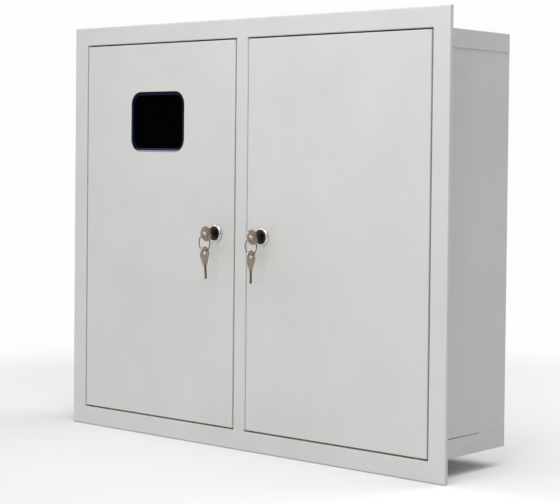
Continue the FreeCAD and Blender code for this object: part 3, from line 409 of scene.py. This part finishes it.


# The dark material of the hinge bushes, painted shade of their gap, also fills the open joints, which show
# as dark lines of painted shade.
MATERIALS = {
    "paint": powder_coat("powder_coat", (0.602, 0.607, 0.590)),
    "chrome": chrome_plate("chrome_plate"),
    "lock_core": wafer_metal("lock_core"),
    "nickel": bare_metal("key_nickel", (0.43, 0.36, 0.30), low=0.18, high=0.36, cloud_scale=150.0,
                         strength=0.3),
    # A darker copy of the key's nickel: painted shade on the blades.
    "blade": bare_metal("painted_shade_nickel", (0.17, 0.135, 0.11), low=0.22, high=0.40, cloud_scale=150.0,
                        strength=0.3),
    "ring": bare_metal("ring_steel", (0.19, 0.162, 0.14), low=0.14, high=0.30),
    "zinc": zinc_plate("zinc_plate"),
    "brass": bare_metal("bar_brass", (0.70, 0.50, 0.22), low=0.2, high=0.42, scratch=(60.0, 1.0, 1.0)),
    "plastic": moulded("natural_nylon", (0.62, 0.60, 0.53), low=0.45, high=0.6),
    # Near-black painted shade, for the hinge bushes in their gap and for the open joints.
    "dark": moulded("painted_shade_dark", (0.03, 0.03, 0.03), low=0.5, high=0.65),
    "gasket": moulded("blue_gasket", (0.0003, 0.0011, 0.007), low=0.10, high=0.20,
                      Specular_IOR_Level=0.15, Specular_Tint=(0.04, 0.30, 1.0, 1.0)),
    # Pale blue-grey painted highlight for the sill under the window's bead.
    "sill": moulded("painted_highlight_sill", (0.30, 0.345, 0.44), low=0.2, high=0.32),
    "pane": shade_black_pane("shade_black_acrylic"),
}


def dress_nodes():
    """Each of the solids' nodes takes the material of its slot, and the hinge bushes a dark one, painted
    shade of the gap they sit in.
    """
    for entry in frame["record"]["subparts"]:
        mesh = nodes[entry["node"]].data
        mesh.materials.clear()
        # The hinge bushes are painted near-black for the shade in their gap.
        finish = "dark" if entry["node"] == "hinge_bushes" else entry["material_slot"]
        mesh.materials.append(MATERIALS[finish])


# Keys. Places on a key are counted from the round end of its bow to its tip.
KEY_LENGTH = 41.2
KEY_SHOULDER = 24.2
KEY_THICK = 1.8
BOW_RADIUS = 9.6
BOW_TANGENT = math.radians(64.0)
NECK_START = 22.4
NECK_HALF = 4.2
HEAD_THICK = 1.5
HEAD_EDGE = 0.3
HEAD_STEPS = 56
HOLE_PLACE = 7.4
HOLE_RADIUS = 3.1
RIM_INSET = 1.0
RIM_WIDTH = 1.3
RIM_STEPS = 40
EYE_CLEARANCE = 0.05
EYE_WIDTH = 1.0
RELIEF_EDGE = 0.25


def head_half_width(place):
    """Half the width of the head: a round bow that tapers in straight lines to a short neck."""
    tangent = BOW_RADIUS * (1 + math.cos(BOW_TANGENT))
    if place <= tangent:
        return math.sqrt(max(0.0, BOW_RADIUS ** 2 - (place - BOW_RADIUS) ** 2))
    widest = BOW_RADIUS * math.sin(BOW_TANGENT)
    share = min(1.0, (place - tangent) / (NECK_START - tangent))
    return widest + share * (NECK_HALF - widest)


def head_outline():
    """The head's outline, from the bow's end along one side to the shoulder and back along the other."""
    upper = []
    for index in range(HEAD_STEPS + 1):
        place = KEY_SHOULDER * (0.5 - 0.5 * math.cos(math.pi * index / HEAD_STEPS))
        upper.append((place, head_half_width(place)))
    lower = [(place, -half) for place, half in reversed(upper[1:])]
    return upper + lower


def raised_ring(name, centre, outer, inner, steps):
    """A flat ring as thick as the key, about a place on the key."""
    outlines = [circle_outline(centre, outer, steps), circle_outline(centre, inner, steps)]
    return plate(name, outlines, KEY_THICK, RELIEF_EDGE)


def head_mesh(name):
    """The pressed head, with a raised rim round the bow and a raised eye round the hole."""
    hole = circle_outline(HOLE_PLACE, HOLE_RADIUS)
    head = plate(name, [head_outline(), hole], HEAD_THICK, HEAD_EDGE)
    rim_outer = BOW_RADIUS - RIM_INSET
    rim = raised_ring(name, BOW_RADIUS, rim_outer, rim_outer - RIM_WIDTH, RIM_STEPS)
    eye = raised_ring(name, HOLE_PLACE, HOLE_RADIUS + EYE_WIDTH, HOLE_RADIUS + EYE_CLEARANCE, len(hole))
    return join(name, [head, rim, eye])


# Blade. Each face has one milled groove, given by its lower and upper edge from the blade's middle.
BLADE_HALF = 1.75
BLADE_THICK = 1.6
BLADE_LAP = 0.6
BLADE_STATIONS = 72
NEAR_GROOVE = (0.0, 1.1)
FAR_GROOVE = (-0.8, 0.2)
GROOVE_DEPTH = 0.45
GROOVE_SLOPE = 0.2
CUTS_START = 27.6
CUTS_PITCH = 3.2
CUT_DEPTHS = (0.8, 0.45, 1.0, 0.6)
CUT_HALF = 0.5
TIP_LENGTH = 2.0
TIP_RUN = 2.6


def blade_section():
    """The milled section, as points of (place across the thickness, height)."""
    face = BLADE_THICK / 2
    deep = face - GROOVE_DEPTH
    near_low, near_high = NEAR_GROOVE
    far_low, far_high = FAR_GROOVE
    return [(-face, -BLADE_HALF), (face, -BLADE_HALF), (face, near_low), (deep, near_low + GROOVE_SLOPE),
            (deep, near_high - GROOVE_SLOPE), (face, near_high), (face, BLADE_HALF), (-face, BLADE_HALF),
            (-face, far_high), (-deep, far_high - GROOVE_SLOPE), (-deep, far_low + GROOVE_SLOPE),
            (-face, far_low)]


def cut_height(place):
    """How far the key's cuts raise the lower edge of the blade at a place along the key."""
    height = 0.0
    for number, depth in enumerate(CUT_DEPTHS):
        away = abs(place - CUTS_START - number * CUTS_PITCH)
        height = max(height, min(depth, depth + CUT_HALF - away))
    return height


def blade_mesh(name):
    """The blade: its section swept to the tip, raised at each cut and narrowed at the tip."""
    section = blade_section()
    start = KEY_SHOULDER - BLADE_LAP
    rows = []
    for index in range(BLADE_STATIONS + 1):
        place = start + (KEY_LENGTH - start) * index / BLADE_STATIONS
        lowest = cut_height(place) - BLADE_HALF
        taper = 1.0 - max(0.0, place - KEY_LENGTH + TIP_LENGTH) / TIP_RUN
        rows.append([(place, max(height, lowest) * taper, thick) for thick, height in section])
    return grid_mesh(name, rows, loop=False)


# How the keys hang, in degrees. The key in the lock leans with its keyway.
KEY_TURN = -12.0
SPARE_TURN = 9.0
SPARE_LEAN = {"left": 6.0, "right": 0.5}


def add_key_pieces(stem, node, body, place_key):
    """A key as a pressed head, which stands for the node, and a blade in a darker copy of the same nickel,
    painted shade.
    """
    head = place_key(head_mesh(f"{stem}_detailed"))
    add_piece(f"{stem}_detailed", head, "nickel", body, [node])
    blade = place_key(blade_mesh(f"{stem}_blade"))
    add_piece(f"{stem}_blade", blade, "blade", body)


def add_lock_key(hand):
    """The key in the lock, its blade pointing into the door."""
    low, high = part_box(f"{hand}_key")
    centre = (low + high) / 2 / MM
    start = (centre[0], low[1] / MM, centre[2])

    def place_key(mesh):
        placed(mesh, (0, 1, 0), (0, 0, 1), start)
        turn_about(mesh, start, "Y", KEY_TURN)
        return mesh

    add_key_pieces(f"{hand}_key", f"{hand}_key", f"{hand}_lock", place_key)


def add_spare_key(hand):
    """The spare key, hanging by its hole from the ring with its blade down."""
    low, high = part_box(f"{hand}_spare_key")
    centre = (low + high) / 2 / MM
    top = (centre[0], centre[1], high[2] / MM)
    hang = (top[0], top[1], top[2] - HOLE_PLACE)

    def place_key(mesh):
        placed(mesh, (0, 0, -1), (0, 1, 0), top)
        turn_about(mesh, hang, "X", SPARE_LEAN[hand])
        turn_about(mesh, hang, "Z", SPARE_TURN)
        return mesh

    add_key_pieces(f"{hand}_spare", f"{hand}_spare_key", f"{hand}_spare", place_key)


# Split ring of flat wire. Angles are in radians but for the ring's own turn, which is in degrees.
RING_RADIUS = 10.4
RING_TURN = -6.0
RING_START = math.radians(200)
RING_GAP = math.radians(6)
RING_STATIONS = 220
WIRE_RADIAL_HALF = 0.56
WIRE_WIDE_HALF = 0.26
WIRE_EDGE = 0.14
WIRE_STEP = 0.30
STEP_SPREAD = 0.7


def wire_section():
    """The wire's section with its corners cut, as points of (outward, along the ring's axis)."""
    high, wide, edge = WIRE_RADIAL_HALF, WIRE_WIDE_HALF, WIRE_EDGE
    return [(edge - high, -wide), (high - edge, -wide), (high, edge - wide), (high, wide - edge),
            (high - edge, wide), (edge - high, wide), (-high, wide - edge), (-high, edge - wide)]


def wire_step(angle):
    """How far the wire lies to one side: it steps across where the first turn passes to the second."""
    share = max(0.0, min(1.0, (angle - 2 * math.pi) / STEP_SPREAD + 0.5))
    eased = 3 * share ** 2 - 2 * share ** 3
    return WIRE_STEP * (2 * eased - 1)


def add_ring(hand):
    """A split ring: two turns of flat wire side by side."""
    centre = middle(f"{hand}_key_ring")
    section = wire_section()
    rows = []
    for index in range(RING_STATIONS + 1):
        angle = (4 * math.pi - RING_GAP) * index / RING_STATIONS
        ahead = math.cos(angle + RING_START)
        upward = math.sin(angle + RING_START)
        side = centre[1] + wire_step(angle)
        rows.append([(centre[0] + (RING_RADIUS + outward) * ahead, side + along,
                      centre[2] + (RING_RADIUS + outward) * upward) for outward, along in section])
    name = f"{hand}_split_ring"
    ring = grid_mesh(name, rows, loop=False)
    turn_about(ring, (centre[0], centre[1], centre[2] + RING_RADIUS), "Z", RING_TURN)
    add_piece(name, ring, "ring", f"{hand}_ring", [f"{hand}_key_ring"])


# Lock housing, as (radius, distance behind the door's face): the bezel's recess, rim, step and dome.
RECESS_FLOOR = -2.1
BEZEL_PROFILE = [(8.15, RECESS_FLOOR), (8.15, -3.5), (8.25, -3.72), (8.5, -3.8), (8.75, -3.7), (8.85, -3.5),
                 (8.95, -3.3), (9.1, -3.28), (9.4, -3.36), (9.8, -3.22), (10.2, -2.85), (10.55, -2.35),
                 (10.85, -1.75), (10.95, -1.2), (10.8, -0.8), (10.1, -0.5), (10.1, 0.0)]
BARREL_START = 0.02
BARREL_LENGTH = 12.8
BARREL_RADIUS = 9.0
BARREL_BORE = 6.05
BARREL_FLAT = 8.0
THREAD_START = 0.4
THREAD_PITCH = 1.0
THREAD_DEPTH = 0.45


def lock_centre(hand):
    """The middle of a lock on the door's front face."""
    centre = middle(f"{hand}_lock_plug")
    return (centre[0], FLANGE_FRONT / MM, centre[2])


def add_housing(hand):
    """Domed chrome bezel with a fine step, and a flatted barrel with its thread."""
    root = BARREL_RADIUS - THREAD_DEPTH
    barrel = [(root, BARREL_START)]
    for index in range(int(BARREL_LENGTH / THREAD_PITCH)):
        start = THREAD_START + index * THREAD_PITCH
        barrel += [(root, start), (BARREL_RADIUS, start + THREAD_PITCH / 2)]
    barrel += [(root, BARREL_LENGTH), (BARREL_BORE, BARREL_LENGTH), (BARREL_BORE, RECESS_FLOOR)]
    name = f"{hand}_domed_housing"
    housing = lathe(name, BEZEL_PROFILE + barrel, lock_centre(hand), flat=BARREL_FLAT)
    add_piece(name, housing, "chrome", f"{hand}_door", [f"{hand}_lock_housing"])


# Core face, as (radius, distance behind the plug's front). Its dark collar laps the bezel's inner edge.
CORE_PROFILE = [(0.0, -0.06), (5.6, -0.06), (5.9, -0.22), (6.9, -0.22), (7.4, -0.1), (8.5, -0.08),
                (8.9, -0.02), (9.05, 0.06), (8.9, 0.13), (8.0, 0.13), (7.9, 0.25), (7.9, 0.6), (0.0, 0.6)]
# A rib slopes at its sides and at its ends, as (share of its half width or length, share of its height).
RIB_REACH = 5.5
RIB_PITCH = 1.9
RIB_HALF = 0.42
RIB_HEIGHT = 0.5
RIB_SIDES = ((-1.0, 0.0), (-0.6, 1.0), (0.6, 1.0), (1.0, 0.0))
RIB_ENDS = ((-1.0, 0.0), (-0.92, 1.0), (0.92, 1.0), (1.0, 0.0))
KEYWAY_HALF = 1.15
KEYWAY_TALL = 2.9
MOUTH_WALL = 0.5
MOUTH_THICK = 0.9
MOUTH_EDGE = 0.15
MOUTH_PROUD = 0.1


def core_rib(centre, front, across):
    """One upright rib beside the keyway, as tall as the round face leaves room for."""
    tall = math.sqrt(RIB_REACH ** 2 - across ** 2)
    rows = []
    for end, end_rise in RIB_ENDS:
        rows.append([(centre[0] + across + side * RIB_HALF, front - RIB_HEIGHT * side_rise * end_rise,
                      centre[2] + end * tall) for side, side_rise in RIB_SIDES])
    return grid_mesh("rib", rows, loop=False)


def core_mouth(centre, front):
    """The raised mouth round the key, which leans as the key does."""
    outlines = [slot_outline(KEYWAY_TALL + MOUTH_WALL, KEYWAY_HALF + MOUTH_WALL),
                slot_outline(KEYWAY_TALL, KEYWAY_HALF)]
    place = (centre[0], front - MOUTH_PROUD, centre[2])
    mouth = placed(plate("mouth", outlines, MOUTH_THICK, MOUTH_EDGE), (0, 0, 1), (1, 0, 0), place)
    turn_about(mouth, place, "Y", KEY_TURN)
    return mouth


def add_core(hand):
    """The face of the core: a turned disc with upright ribs on both sides of the key's raised mouth."""
    centre = middle(f"{hand}_lock_plug")
    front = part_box(f"{hand}_lock_plug")[0][1] / MM
    meshes = [lathe("disc", CORE_PROFILE, (centre[0], front, centre[2]))]
    count = int(RIB_REACH / RIB_PITCH)
    for number in range(-count, count + 1):
        across = number * RIB_PITCH
        if abs(across) > KEYWAY_HALF:
            meshes.append(core_rib(centre, front, across))
    meshes.append(core_mouth(centre, front))
    name = f"{hand}_core_face"
    add_piece(name, join(name, meshes), "lock_core", f"{hand}_lock")


# Window. The first three sizes are those of the solids. The bead's corners are rounder than the opening's.
DOOR_SHEET = 1.2
OPENING_CORNER = 12.0
GASKET_LAP = 8.0
WINDOW_CORNER = 16.5
CORNER_STEPS = 14
FILL_LAP = 0.2
# Corners in turn, as (right or left, above or below).
CORNER_SIDES = ((1, 1), (-1, 1), (-1, -1), (1, -1))
# Bead section, as (distance outward from the opening's edge, distance behind the sheet's back).
BEAD_SECTION = [(6.5, 0.0), (0.05, 0.0), (-0.2, -0.5), (-0.9, -0.95), (-2.0, -1.1), (-3.1, -0.85),
                (-4.1, -0.2), (-4.9, 0.7), (-5.0, 1.9), (6.5, 1.9)]


def sheet_back():
    """The back of the left door's sheet, where the gasket starts."""
    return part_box("window_gasket")[0][1] / MM


def window_edges():
    """Left, right, bottom and top of the opening: the gasket's box less what it laps behind the sheet."""
    low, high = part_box("window_gasket")
    return (low[0] / MM + GASKET_LAP, high[0] / MM - GASKET_LAP,
            low[2] / MM + GASKET_LAP, high[2] / MM - GASKET_LAP)


def bead_centre(side, lift):
    """The middle of the bead's arc at the corner on one side, above or below."""
    left, right, bottom, top = window_edges()
    x = right - WINDOW_CORNER if side > 0 else left + WINDOW_CORNER
    z = top - WINDOW_CORNER if lift > 0 else bottom + WINDOW_CORNER
    return x, z


def corner_directions(quarter):
    """The directions round one corner, as (ahead, upward)."""
    angles = [math.pi / 2 * (quarter + step / CORNER_STEPS) for step in range(CORNER_STEPS + 1)]
    return [(math.cos(angle), math.sin(angle)) for angle in angles]


def corner_fill(quarter, side, lift):
    """The painted sliver of sheet between the opening's corner and the bead's rounder one."""
    x, z = bead_centre(side, lift)
    step_out = WINDOW_CORNER - OPENING_CORNER
    inner_radius = WINDOW_CORNER - FILL_LAP
    back = sheet_back()
    front = back - DOOR_SHEET
    rows = []
    for ahead, upward in corner_directions(quarter):
        outer_x = x + side * step_out + OPENING_CORNER * ahead
        outer_z = z + lift * step_out + OPENING_CORNER * upward
        inner_x = x + inner_radius * ahead
        inner_z = z + inner_radius * upward
        rows.append([(outer_x, front, outer_z), (inner_x, front, inner_z), (inner_x, back, inner_z),
                     (outer_x, back, outer_z)])
    return grid_mesh("fill", rows, loop=False)


def add_corner_fills():
    """The slivers of sheet at the four corners."""
    fills = [corner_fill(quarter, side, lift) for quarter, (side, lift) in enumerate(CORNER_SIDES)]
    name = "window_corner_fills"
    add_piece(name, join(name, fills), "paint", "left_door")


def add_bead():
    """The blue bead of the gasket, swept round the opening."""
    back = sheet_back()
    rows = []
    for quarter, (side, lift) in enumerate(CORNER_SIDES):
        x, z = bead_centre(side, lift)
        for ahead, upward in corner_directions(quarter):
            radii = [(WINDOW_CORNER + out, back + depth) for out, depth in BEAD_SECTION]
            rows.append([(x + radius * ahead, y, z + radius * upward) for radius, y in radii])
    bead = grid_mesh("window_bead", rows)
    add_piece("window_bead", bead, "gasket", "left_door", ["window_gasket"])


# Sill under the bead, pale blue-grey as a painted highlight of the light its lower lip catches from above.
# At its last steps it thins and climbs by these shares, to follow the corners.
SILL_HEIGHT = 2.9
SILL_INSET = WINDOW_CORNER * 0.62
SILL_STEPS = 48
SILL_END_SHARES = (0.9, 0.55, 0.28, 0.1, 0.0)
SILL_END_THINNING = 2.2
SILL_END_CLIMB = 2.4
SILL_CLEARANCE = 0.05
# Sill section, as (distance ahead of the sheet's back, height over the foot, share of the sill's height).
SILL_SECTION = ((0.25, 0.0, 0.0), (1.0, 0.15, 0.0), (1.3, 0.0, 0.3), (1.05, 0.0, 0.75), (0.6, 0.0, 1.0),
                (0.0, 0.0, 1.0))


def add_sill():
    """The sill along the lower edge of the opening, its pale colour a painted highlight."""
    left, right, bottom, _ = window_edges()
    back = sheet_back()
    start = left + SILL_INSET
    length = right - left - 2 * SILL_INSET
    rows = []
    for index in range(SILL_STEPS + 1):
        x = start + length * index / SILL_STEPS
        from_end = min(index, SILL_STEPS - index)
        share = SILL_END_SHARES[min(from_end, len(SILL_END_SHARES) - 1)]
        tall = SILL_HEIGHT - SILL_END_THINNING * share
        foot = bottom + SILL_CLEARANCE + SILL_END_CLIMB * share
        rows.append([(x, back - ahead, foot + rise + part * tall) for ahead, rise, part in SILL_SECTION])
    sill = grid_mesh("window_sill", rows, loop=False)
    add_piece("window_sill", sill, "sill", "left_door")


# Top-hat rail: a folded section with slots along its web.
RAIL_SHEET = 1.0
RAIL_BEND = 0.4
RAIL_WEB_HALF = 13.5
RAIL_WEB_INNER = RAIL_WEB_HALF - RAIL_SHEET
RAIL_WEB_EDGE = 0.08
RAIL_SLOT_PITCH = 25.0
RAIL_SLOT_REACH = 7.5
RAIL_SLOT_HALF = 2.6
RAIL_END = 26.0


def rail_flank(low, high, side):
    """One folded flank of a rail with its lip, above or below the web."""
    front, back = low[1], high[1]
    level = (low[2] + high[2]) / 2
    lip_end = (high[2] - low[2]) / 2
    lip_back = front + RAIL_SHEET
    section = [(back - RAIL_SHEET, RAIL_WEB_INNER), (back, RAIL_WEB_INNER),
               (back, RAIL_WEB_HALF - RAIL_BEND), (back - RAIL_BEND, RAIL_WEB_HALF),
               (lip_back + RAIL_BEND, RAIL_WEB_HALF), (lip_back, RAIL_WEB_HALF + RAIL_BEND),
               (lip_back, lip_end), (front, lip_end),
               (front, RAIL_WEB_INNER + RAIL_BEND), (front + RAIL_BEND, RAIL_WEB_INNER)]
    rows = [[(x, y, level + side * z) for y, z in section] for x in (low[0], high[0])]
    return grid_mesh("flank", rows, loop=False)


def rail_web(low, high):
    """The slotted web between a rail's flanks."""
    length = high[0] - low[0]
    half = RAIL_WEB_INNER
    outlines = [[(0.0, -half), (length, -half), (length, half), (0.0, half)]]
    count = int((length - 2 * RAIL_END) / RAIL_SLOT_PITCH)
    start = length / 2 - count * RAIL_SLOT_PITCH / 2
    for number in range(count + 1):
        shift = start + number * RAIL_SLOT_PITCH
        outlines.append([(shift + x, y) for x, y in slot_outline(RAIL_SLOT_REACH, RAIL_SLOT_HALF)])
    web = plate("web", outlines, RAIL_SHEET, RAIL_WEB_EDGE)
    return placed(web, (1, 0, 0), (0, 0, 1), (low[0], high[1] - RAIL_SHEET / 2, (low[2] + high[2]) / 2))


def add_rail(index):
    """One rail in the place of its solid."""
    low, high = (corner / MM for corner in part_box(f"din_rail_{index}"))
    meshes = [rail_flank(low, high, 1), rail_flank(low, high, -1), rail_web(low, high)]
    name = f"slotted_rail_{index}"
    add_piece(name, join(name, meshes), "zinc", "box", [f"din_rail_{index}"])


# Spot welds, as small pressed rings of (radius, height over the sheet).
WELD_PROFILE = [(0.0, 0.02), (1.5, 0.04), (2.1, 0.22), (2.5, 0.30), (2.9, 0.22), (3.5, 0.0), (3.5, -0.1),
                (0.0, -0.1)]
WELD_TURNS = 20
# Columns of welds on the right side, as (node behind the sheet, count, height of the first, pitch down).
WELD_COLUMNS = (("cover_angle", 10, 204.0, 45.0), ("right_rail_angle", 7, 188.0, 62.0))
TRAY_WELD_PLACES = (-34.0, -76.0, -118.0)
TRAY_WELD_LEVEL = 238.5


def weld(place, side):
    """One weld mark on a face that looks right (side 1) or left (side -1)."""
    profile = [(radius, side * height) for radius, height in WELD_PROFILE]
    return lathe("weld", profile, place, axis="X", turns=WELD_TURNS)


def add_welds():
    """The weld marks of the inner angles on the box's right side, and those of the trays' skirts."""
    right_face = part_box("body_wrap")[1][0] / MM
    meshes = []
    for node, count, first, pitch in WELD_COLUMNS:
        depth = middle(node)[1]
        meshes += [weld((right_face, depth, first - index * pitch), 1) for index in range(count)]
    tray_low, tray_high = (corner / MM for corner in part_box("top_tray"))
    for side, face in ((1, tray_high[0]), (-1, tray_low[0])):
        for level in (TRAY_WELD_LEVEL, -TRAY_WELD_LEVEL):
            meshes += [weld((face, depth, level), side) for depth in TRAY_WELD_PLACES]
    add_piece("weld_marks", join("weld_marks", meshes), "paint", "box")


# Mullion trim, as (distance out from the mullion's right side, place in depth), and its reach up and down.
# The gap is that of the solids between the mullion and the right door.
DOOR_GAP = 1.8
TRIM_SECTION = [(0.02, -150.0), (0.02, -154.2), (0.15, -154.5), (0.4, -154.65), (0.75, -154.65),
                (1.0, -154.5), (1.1, -154.2), (1.1, -150.0)]
TRIM_REACH = 243.0


def add_mullion_trim():
    """Thin edge trim on the centre mullion's right side, which half fills the gap beside the right door."""
    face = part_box("right_door")[0][0] / MM - DOOR_GAP
    rows = [[(face + out, y, z) for out, y in TRIM_SECTION] for z in (-TRIM_REACH, TRIM_REACH)]
    trim = grid_mesh("mullion_trim", rows, loop=False)
    add_piece("mullion_trim", trim, "paint", "box")


# Open joints, drawn as dark strips of painted shade, from their start near the front to their end near the
# back, with their height at both.
JOINT_START = -140.5
JOINT_END = -56.0
JOINT_START_TALL = 0.85
JOINT_END_TALL = 0.5
JOINT_STEPS = 12
JOINT_PROUD = 0.2
JOINT_SWELL = 0.1
JOINT_SUNK = 0.1
JOINT_LAP = 0.05


def joint_shade_strip(side, face, level):
    """One dark strip of painted shade, a hair proud of the side and most so at the front, that narrows
    towards the back.
    """
    root = side * (face - JOINT_SUNK)
    rows = []
    for index in range(JOINT_STEPS + 1):
        share = index / JOINT_STEPS
        y = JOINT_START + share * (JOINT_END - JOINT_START)
        top = level + JOINT_START_TALL + share * (JOINT_END_TALL - JOINT_START_TALL)
        front = side * (face + JOINT_PROUD + JOINT_SWELL * math.cos(math.pi * share))
        rows.append([(root, y, level - JOINT_LAP), (front, y, level), (front, y, top), (root, y, top)])
    return grid_mesh("joint", rows, loop=False)


def add_painted_joint_shade():
    """Dark strips of painted shade in the narrow open joints over the lower tray's skirts, on both sides of
    the box.
    """
    skirt_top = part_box("bottom_tray")[1][2] / MM
    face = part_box("body_wrap")[1][0] / MM
    strips = [joint_shade_strip(side, face, skirt_top) for side in (1, -1)]
    add_piece("painted_joint_shade", join("painted_joint_shade", strips), "dark", "box")


# Studio. Brightness is 1 for white. The floor fades into the background between two distances.
SKY = (0.985, 0.985, 0.985, 1.0)
SKY_LIGHT = 0.353
FLOOR_COLOUR = (0.80, 0.80, 0.80, 1.0)
FLOOR_SEEN_COLOUR = (0.93, 0.93, 0.93, 1.0)
FLOOR_HALF = 12.0
FLOOR_DROP = 0.0004
FADE_START = 0.55
FADE_END = 1.15


def ray_seen(tree):
    """One for rays from the eye, from mirrors and through glass, and zero for the light on things."""
    path = tree.nodes.new("ShaderNodeLightPath")
    total = path.outputs["Is Camera Ray"]
    for name in ("Is Glossy Ray", "Is Transmission Ray"):
        either = tree.nodes.new("ShaderNodeMath")
        either.operation = "MAXIMUM"
        tree.links.new(total, either.inputs[0])
        tree.links.new(path.outputs[name], either.inputs[1])
        total = either.outputs[0]
    return total


def coloured(tree, kind, colour):
    """A shader of one colour."""
    shader = tree.nodes.new(kind)
    shader.inputs["Color"].default_value = colour
    return shader.outputs[0]


def mix_shaders(tree, factor, first, second):
    """The first shader where the factor is zero, and the second where it is one."""
    mix = tree.nodes.new("ShaderNodeMixShader")
    tree.links.new(factor, mix.inputs["Fac"])
    tree.links.new(first, mix.inputs[1])
    tree.links.new(second, mix.inputs[2])
    return mix.outputs["Shader"]


def add_world():
    """White behind the object, and a softer even light on it."""
    world = bpy.data.worlds.new("studio")
    bpy.context.scene.world = world
    world.use_nodes = True
    tree = world.node_tree
    plain = tree.nodes["Background"]
    plain.inputs["Color"].default_value = (*WHITE, 1.0)
    plain.inputs["Strength"].default_value = SKY_LIGHT
    seen = coloured(tree, "ShaderNodeBackground", SKY)
    shader = mix_shaders(tree, ray_seen(tree), plain.outputs[0], seen)
    tree.links.new(shader, tree.nodes["World Output"].inputs["Surface"])


def far_share(tree):
    """Zero near the floor's middle, one far from it and a smooth change between."""
    place = tree.nodes.new("ShaderNodeTexCoord")
    distance = tree.nodes.new("ShaderNodeVectorMath")
    distance.operation = "LENGTH"
    tree.links.new(place.outputs["Object"], distance.inputs[0])
    fade = tree.nodes.new("ShaderNodeMapRange")
    fade.interpolation_type = "SMOOTHERSTEP"
    fade.inputs["From Min"].default_value = FADE_START
    fade.inputs["From Max"].default_value = FADE_END
    tree.links.new(distance.outputs["Value"], fade.inputs["Value"])
    return fade.outputs["Result"]


def floor_material():
    """Pale floor that keeps the object's shadow nearby and shows the background's white further out."""
    material = bpy.data.materials.new("floor_white")
    material.use_nodes = True
    tree = material.node_tree
    tree.nodes.remove(tree.nodes["Principled BSDF"])
    plain = coloured(tree, "ShaderNodeBsdfDiffuse", FLOOR_COLOUR)
    near = coloured(tree, "ShaderNodeBsdfDiffuse", FLOOR_SEEN_COLOUR)
    far = coloured(tree, "ShaderNodeEmission", SKY)
    seen = mix_shaders(tree, far_share(tree), near, far)
    shader = mix_shaders(tree, ray_seen(tree), plain, seen)
    tree.links.new(shader, tree.nodes["Material Output"].inputs["Surface"])
    return material


def flat_card(name, wide_half, tall_half, material):
    """A flat card about its own middle."""
    mesh = bpy.data.meshes.new(name)
    corners = [(-wide_half, -tall_half, 0.0), (wide_half, -tall_half, 0.0),
               (wide_half, tall_half, 0.0), (-wide_half, tall_half, 0.0)]
    mesh.from_pydata(corners, [], [(0, 1, 2, 3)])
    mesh.materials.append(material)
    return add_object(name, mesh)


def add_floor():
    """The floor, a hair under the flange's lower edge."""
    floor = flat_card("floor", FLOOR_HALF, FLOOR_HALF, floor_material())
    floor.location.z = FLOOR_LEVEL - FLOOR_DROP


# The unlit side of the studio, just behind the camera: it shows only in polished metal.
DARK_SIDE_AWAY = 0.25
DARK_SIDE_HALVES = (1.5, 1.1)
DARK_SIDE_COLOUR = (0.02, 0.02, 0.02, 1.0)


def add_dark_side():
    """A dark card behind the camera that casts no shadow and lights nothing."""
    material = bpy.data.materials.new("dark_card")
    material.use_nodes = True
    material.node_tree.nodes["Principled BSDF"].inputs["Base Color"].default_value = DARK_SIDE_COLOUR
    card = flat_card("dark_side", *DARK_SIDE_HALVES, material)
    behind = Matrix.Translation((0.0, 0.0, DARK_SIDE_AWAY))
    card.matrix_world = bpy.context.scene.camera.matrix_world @ behind
    card.visible_camera = False
    card.visible_diffuse = False
    card.visible_shadow = False


# Lamps, as place, the point that each faces, its width and height in metres, and its power in watts.
LAMPS = {
    "front_light": ((0.3, -3.0, 0.3), (0.0, -0.1, 0.0), (2.0, 1.0), 27.8),
    "top_light": ((0.3, -0.2, 2.4), (0.0, -0.1, -0.2), (2.0, 1.6), 17.0),
    "left_light": ((-1.6, -0.6, 2.0), (0.0, -0.1, 0.0), (1.4, 1.4), 13.9),
    "near_light": ((0.3, -0.6, 0.85), (0.2, -0.15, 0.2), (0.6, 0.3), 2.64),
    "back_light": ((0.8, 1.2, 1.4), (0.6, 0.0, -0.27), (1.2, 1.0), 14.3),
}


def add_lights():
    """Soft lamps round the object, which the camera doesn't see."""
    for name, (place, aim, size, power) in LAMPS.items():
        data = bpy.data.lights.new(name, "AREA")
        data.shape = "RECTANGLE"
        data.size, data.size_y = size
        data.energy = power
        lamp = add_object(name, data)
        lamp.visible_camera = False
        lamp.location = place
        lamp.rotation_euler = (Vector(aim) - Vector(place)).to_track_quat("-Z", "Y").to_euler()


add_camera()
add_world()
add_floor()
add_dark_side()
add_lights()
dress_nodes()
for hand in ("left", "right"):
    add_lock_key(hand)
    add_spare_key(hand)
    add_ring(hand)
    add_housing(hand)
    add_core(hand)
add_corner_fills()
add_bead()
add_sill()
for number in range(1, 5):
    add_rail(number)
add_welds()
add_mullion_trim()
add_painted_joint_shade()

bpy.context.scene.view_settings.view_transform = "Standard"
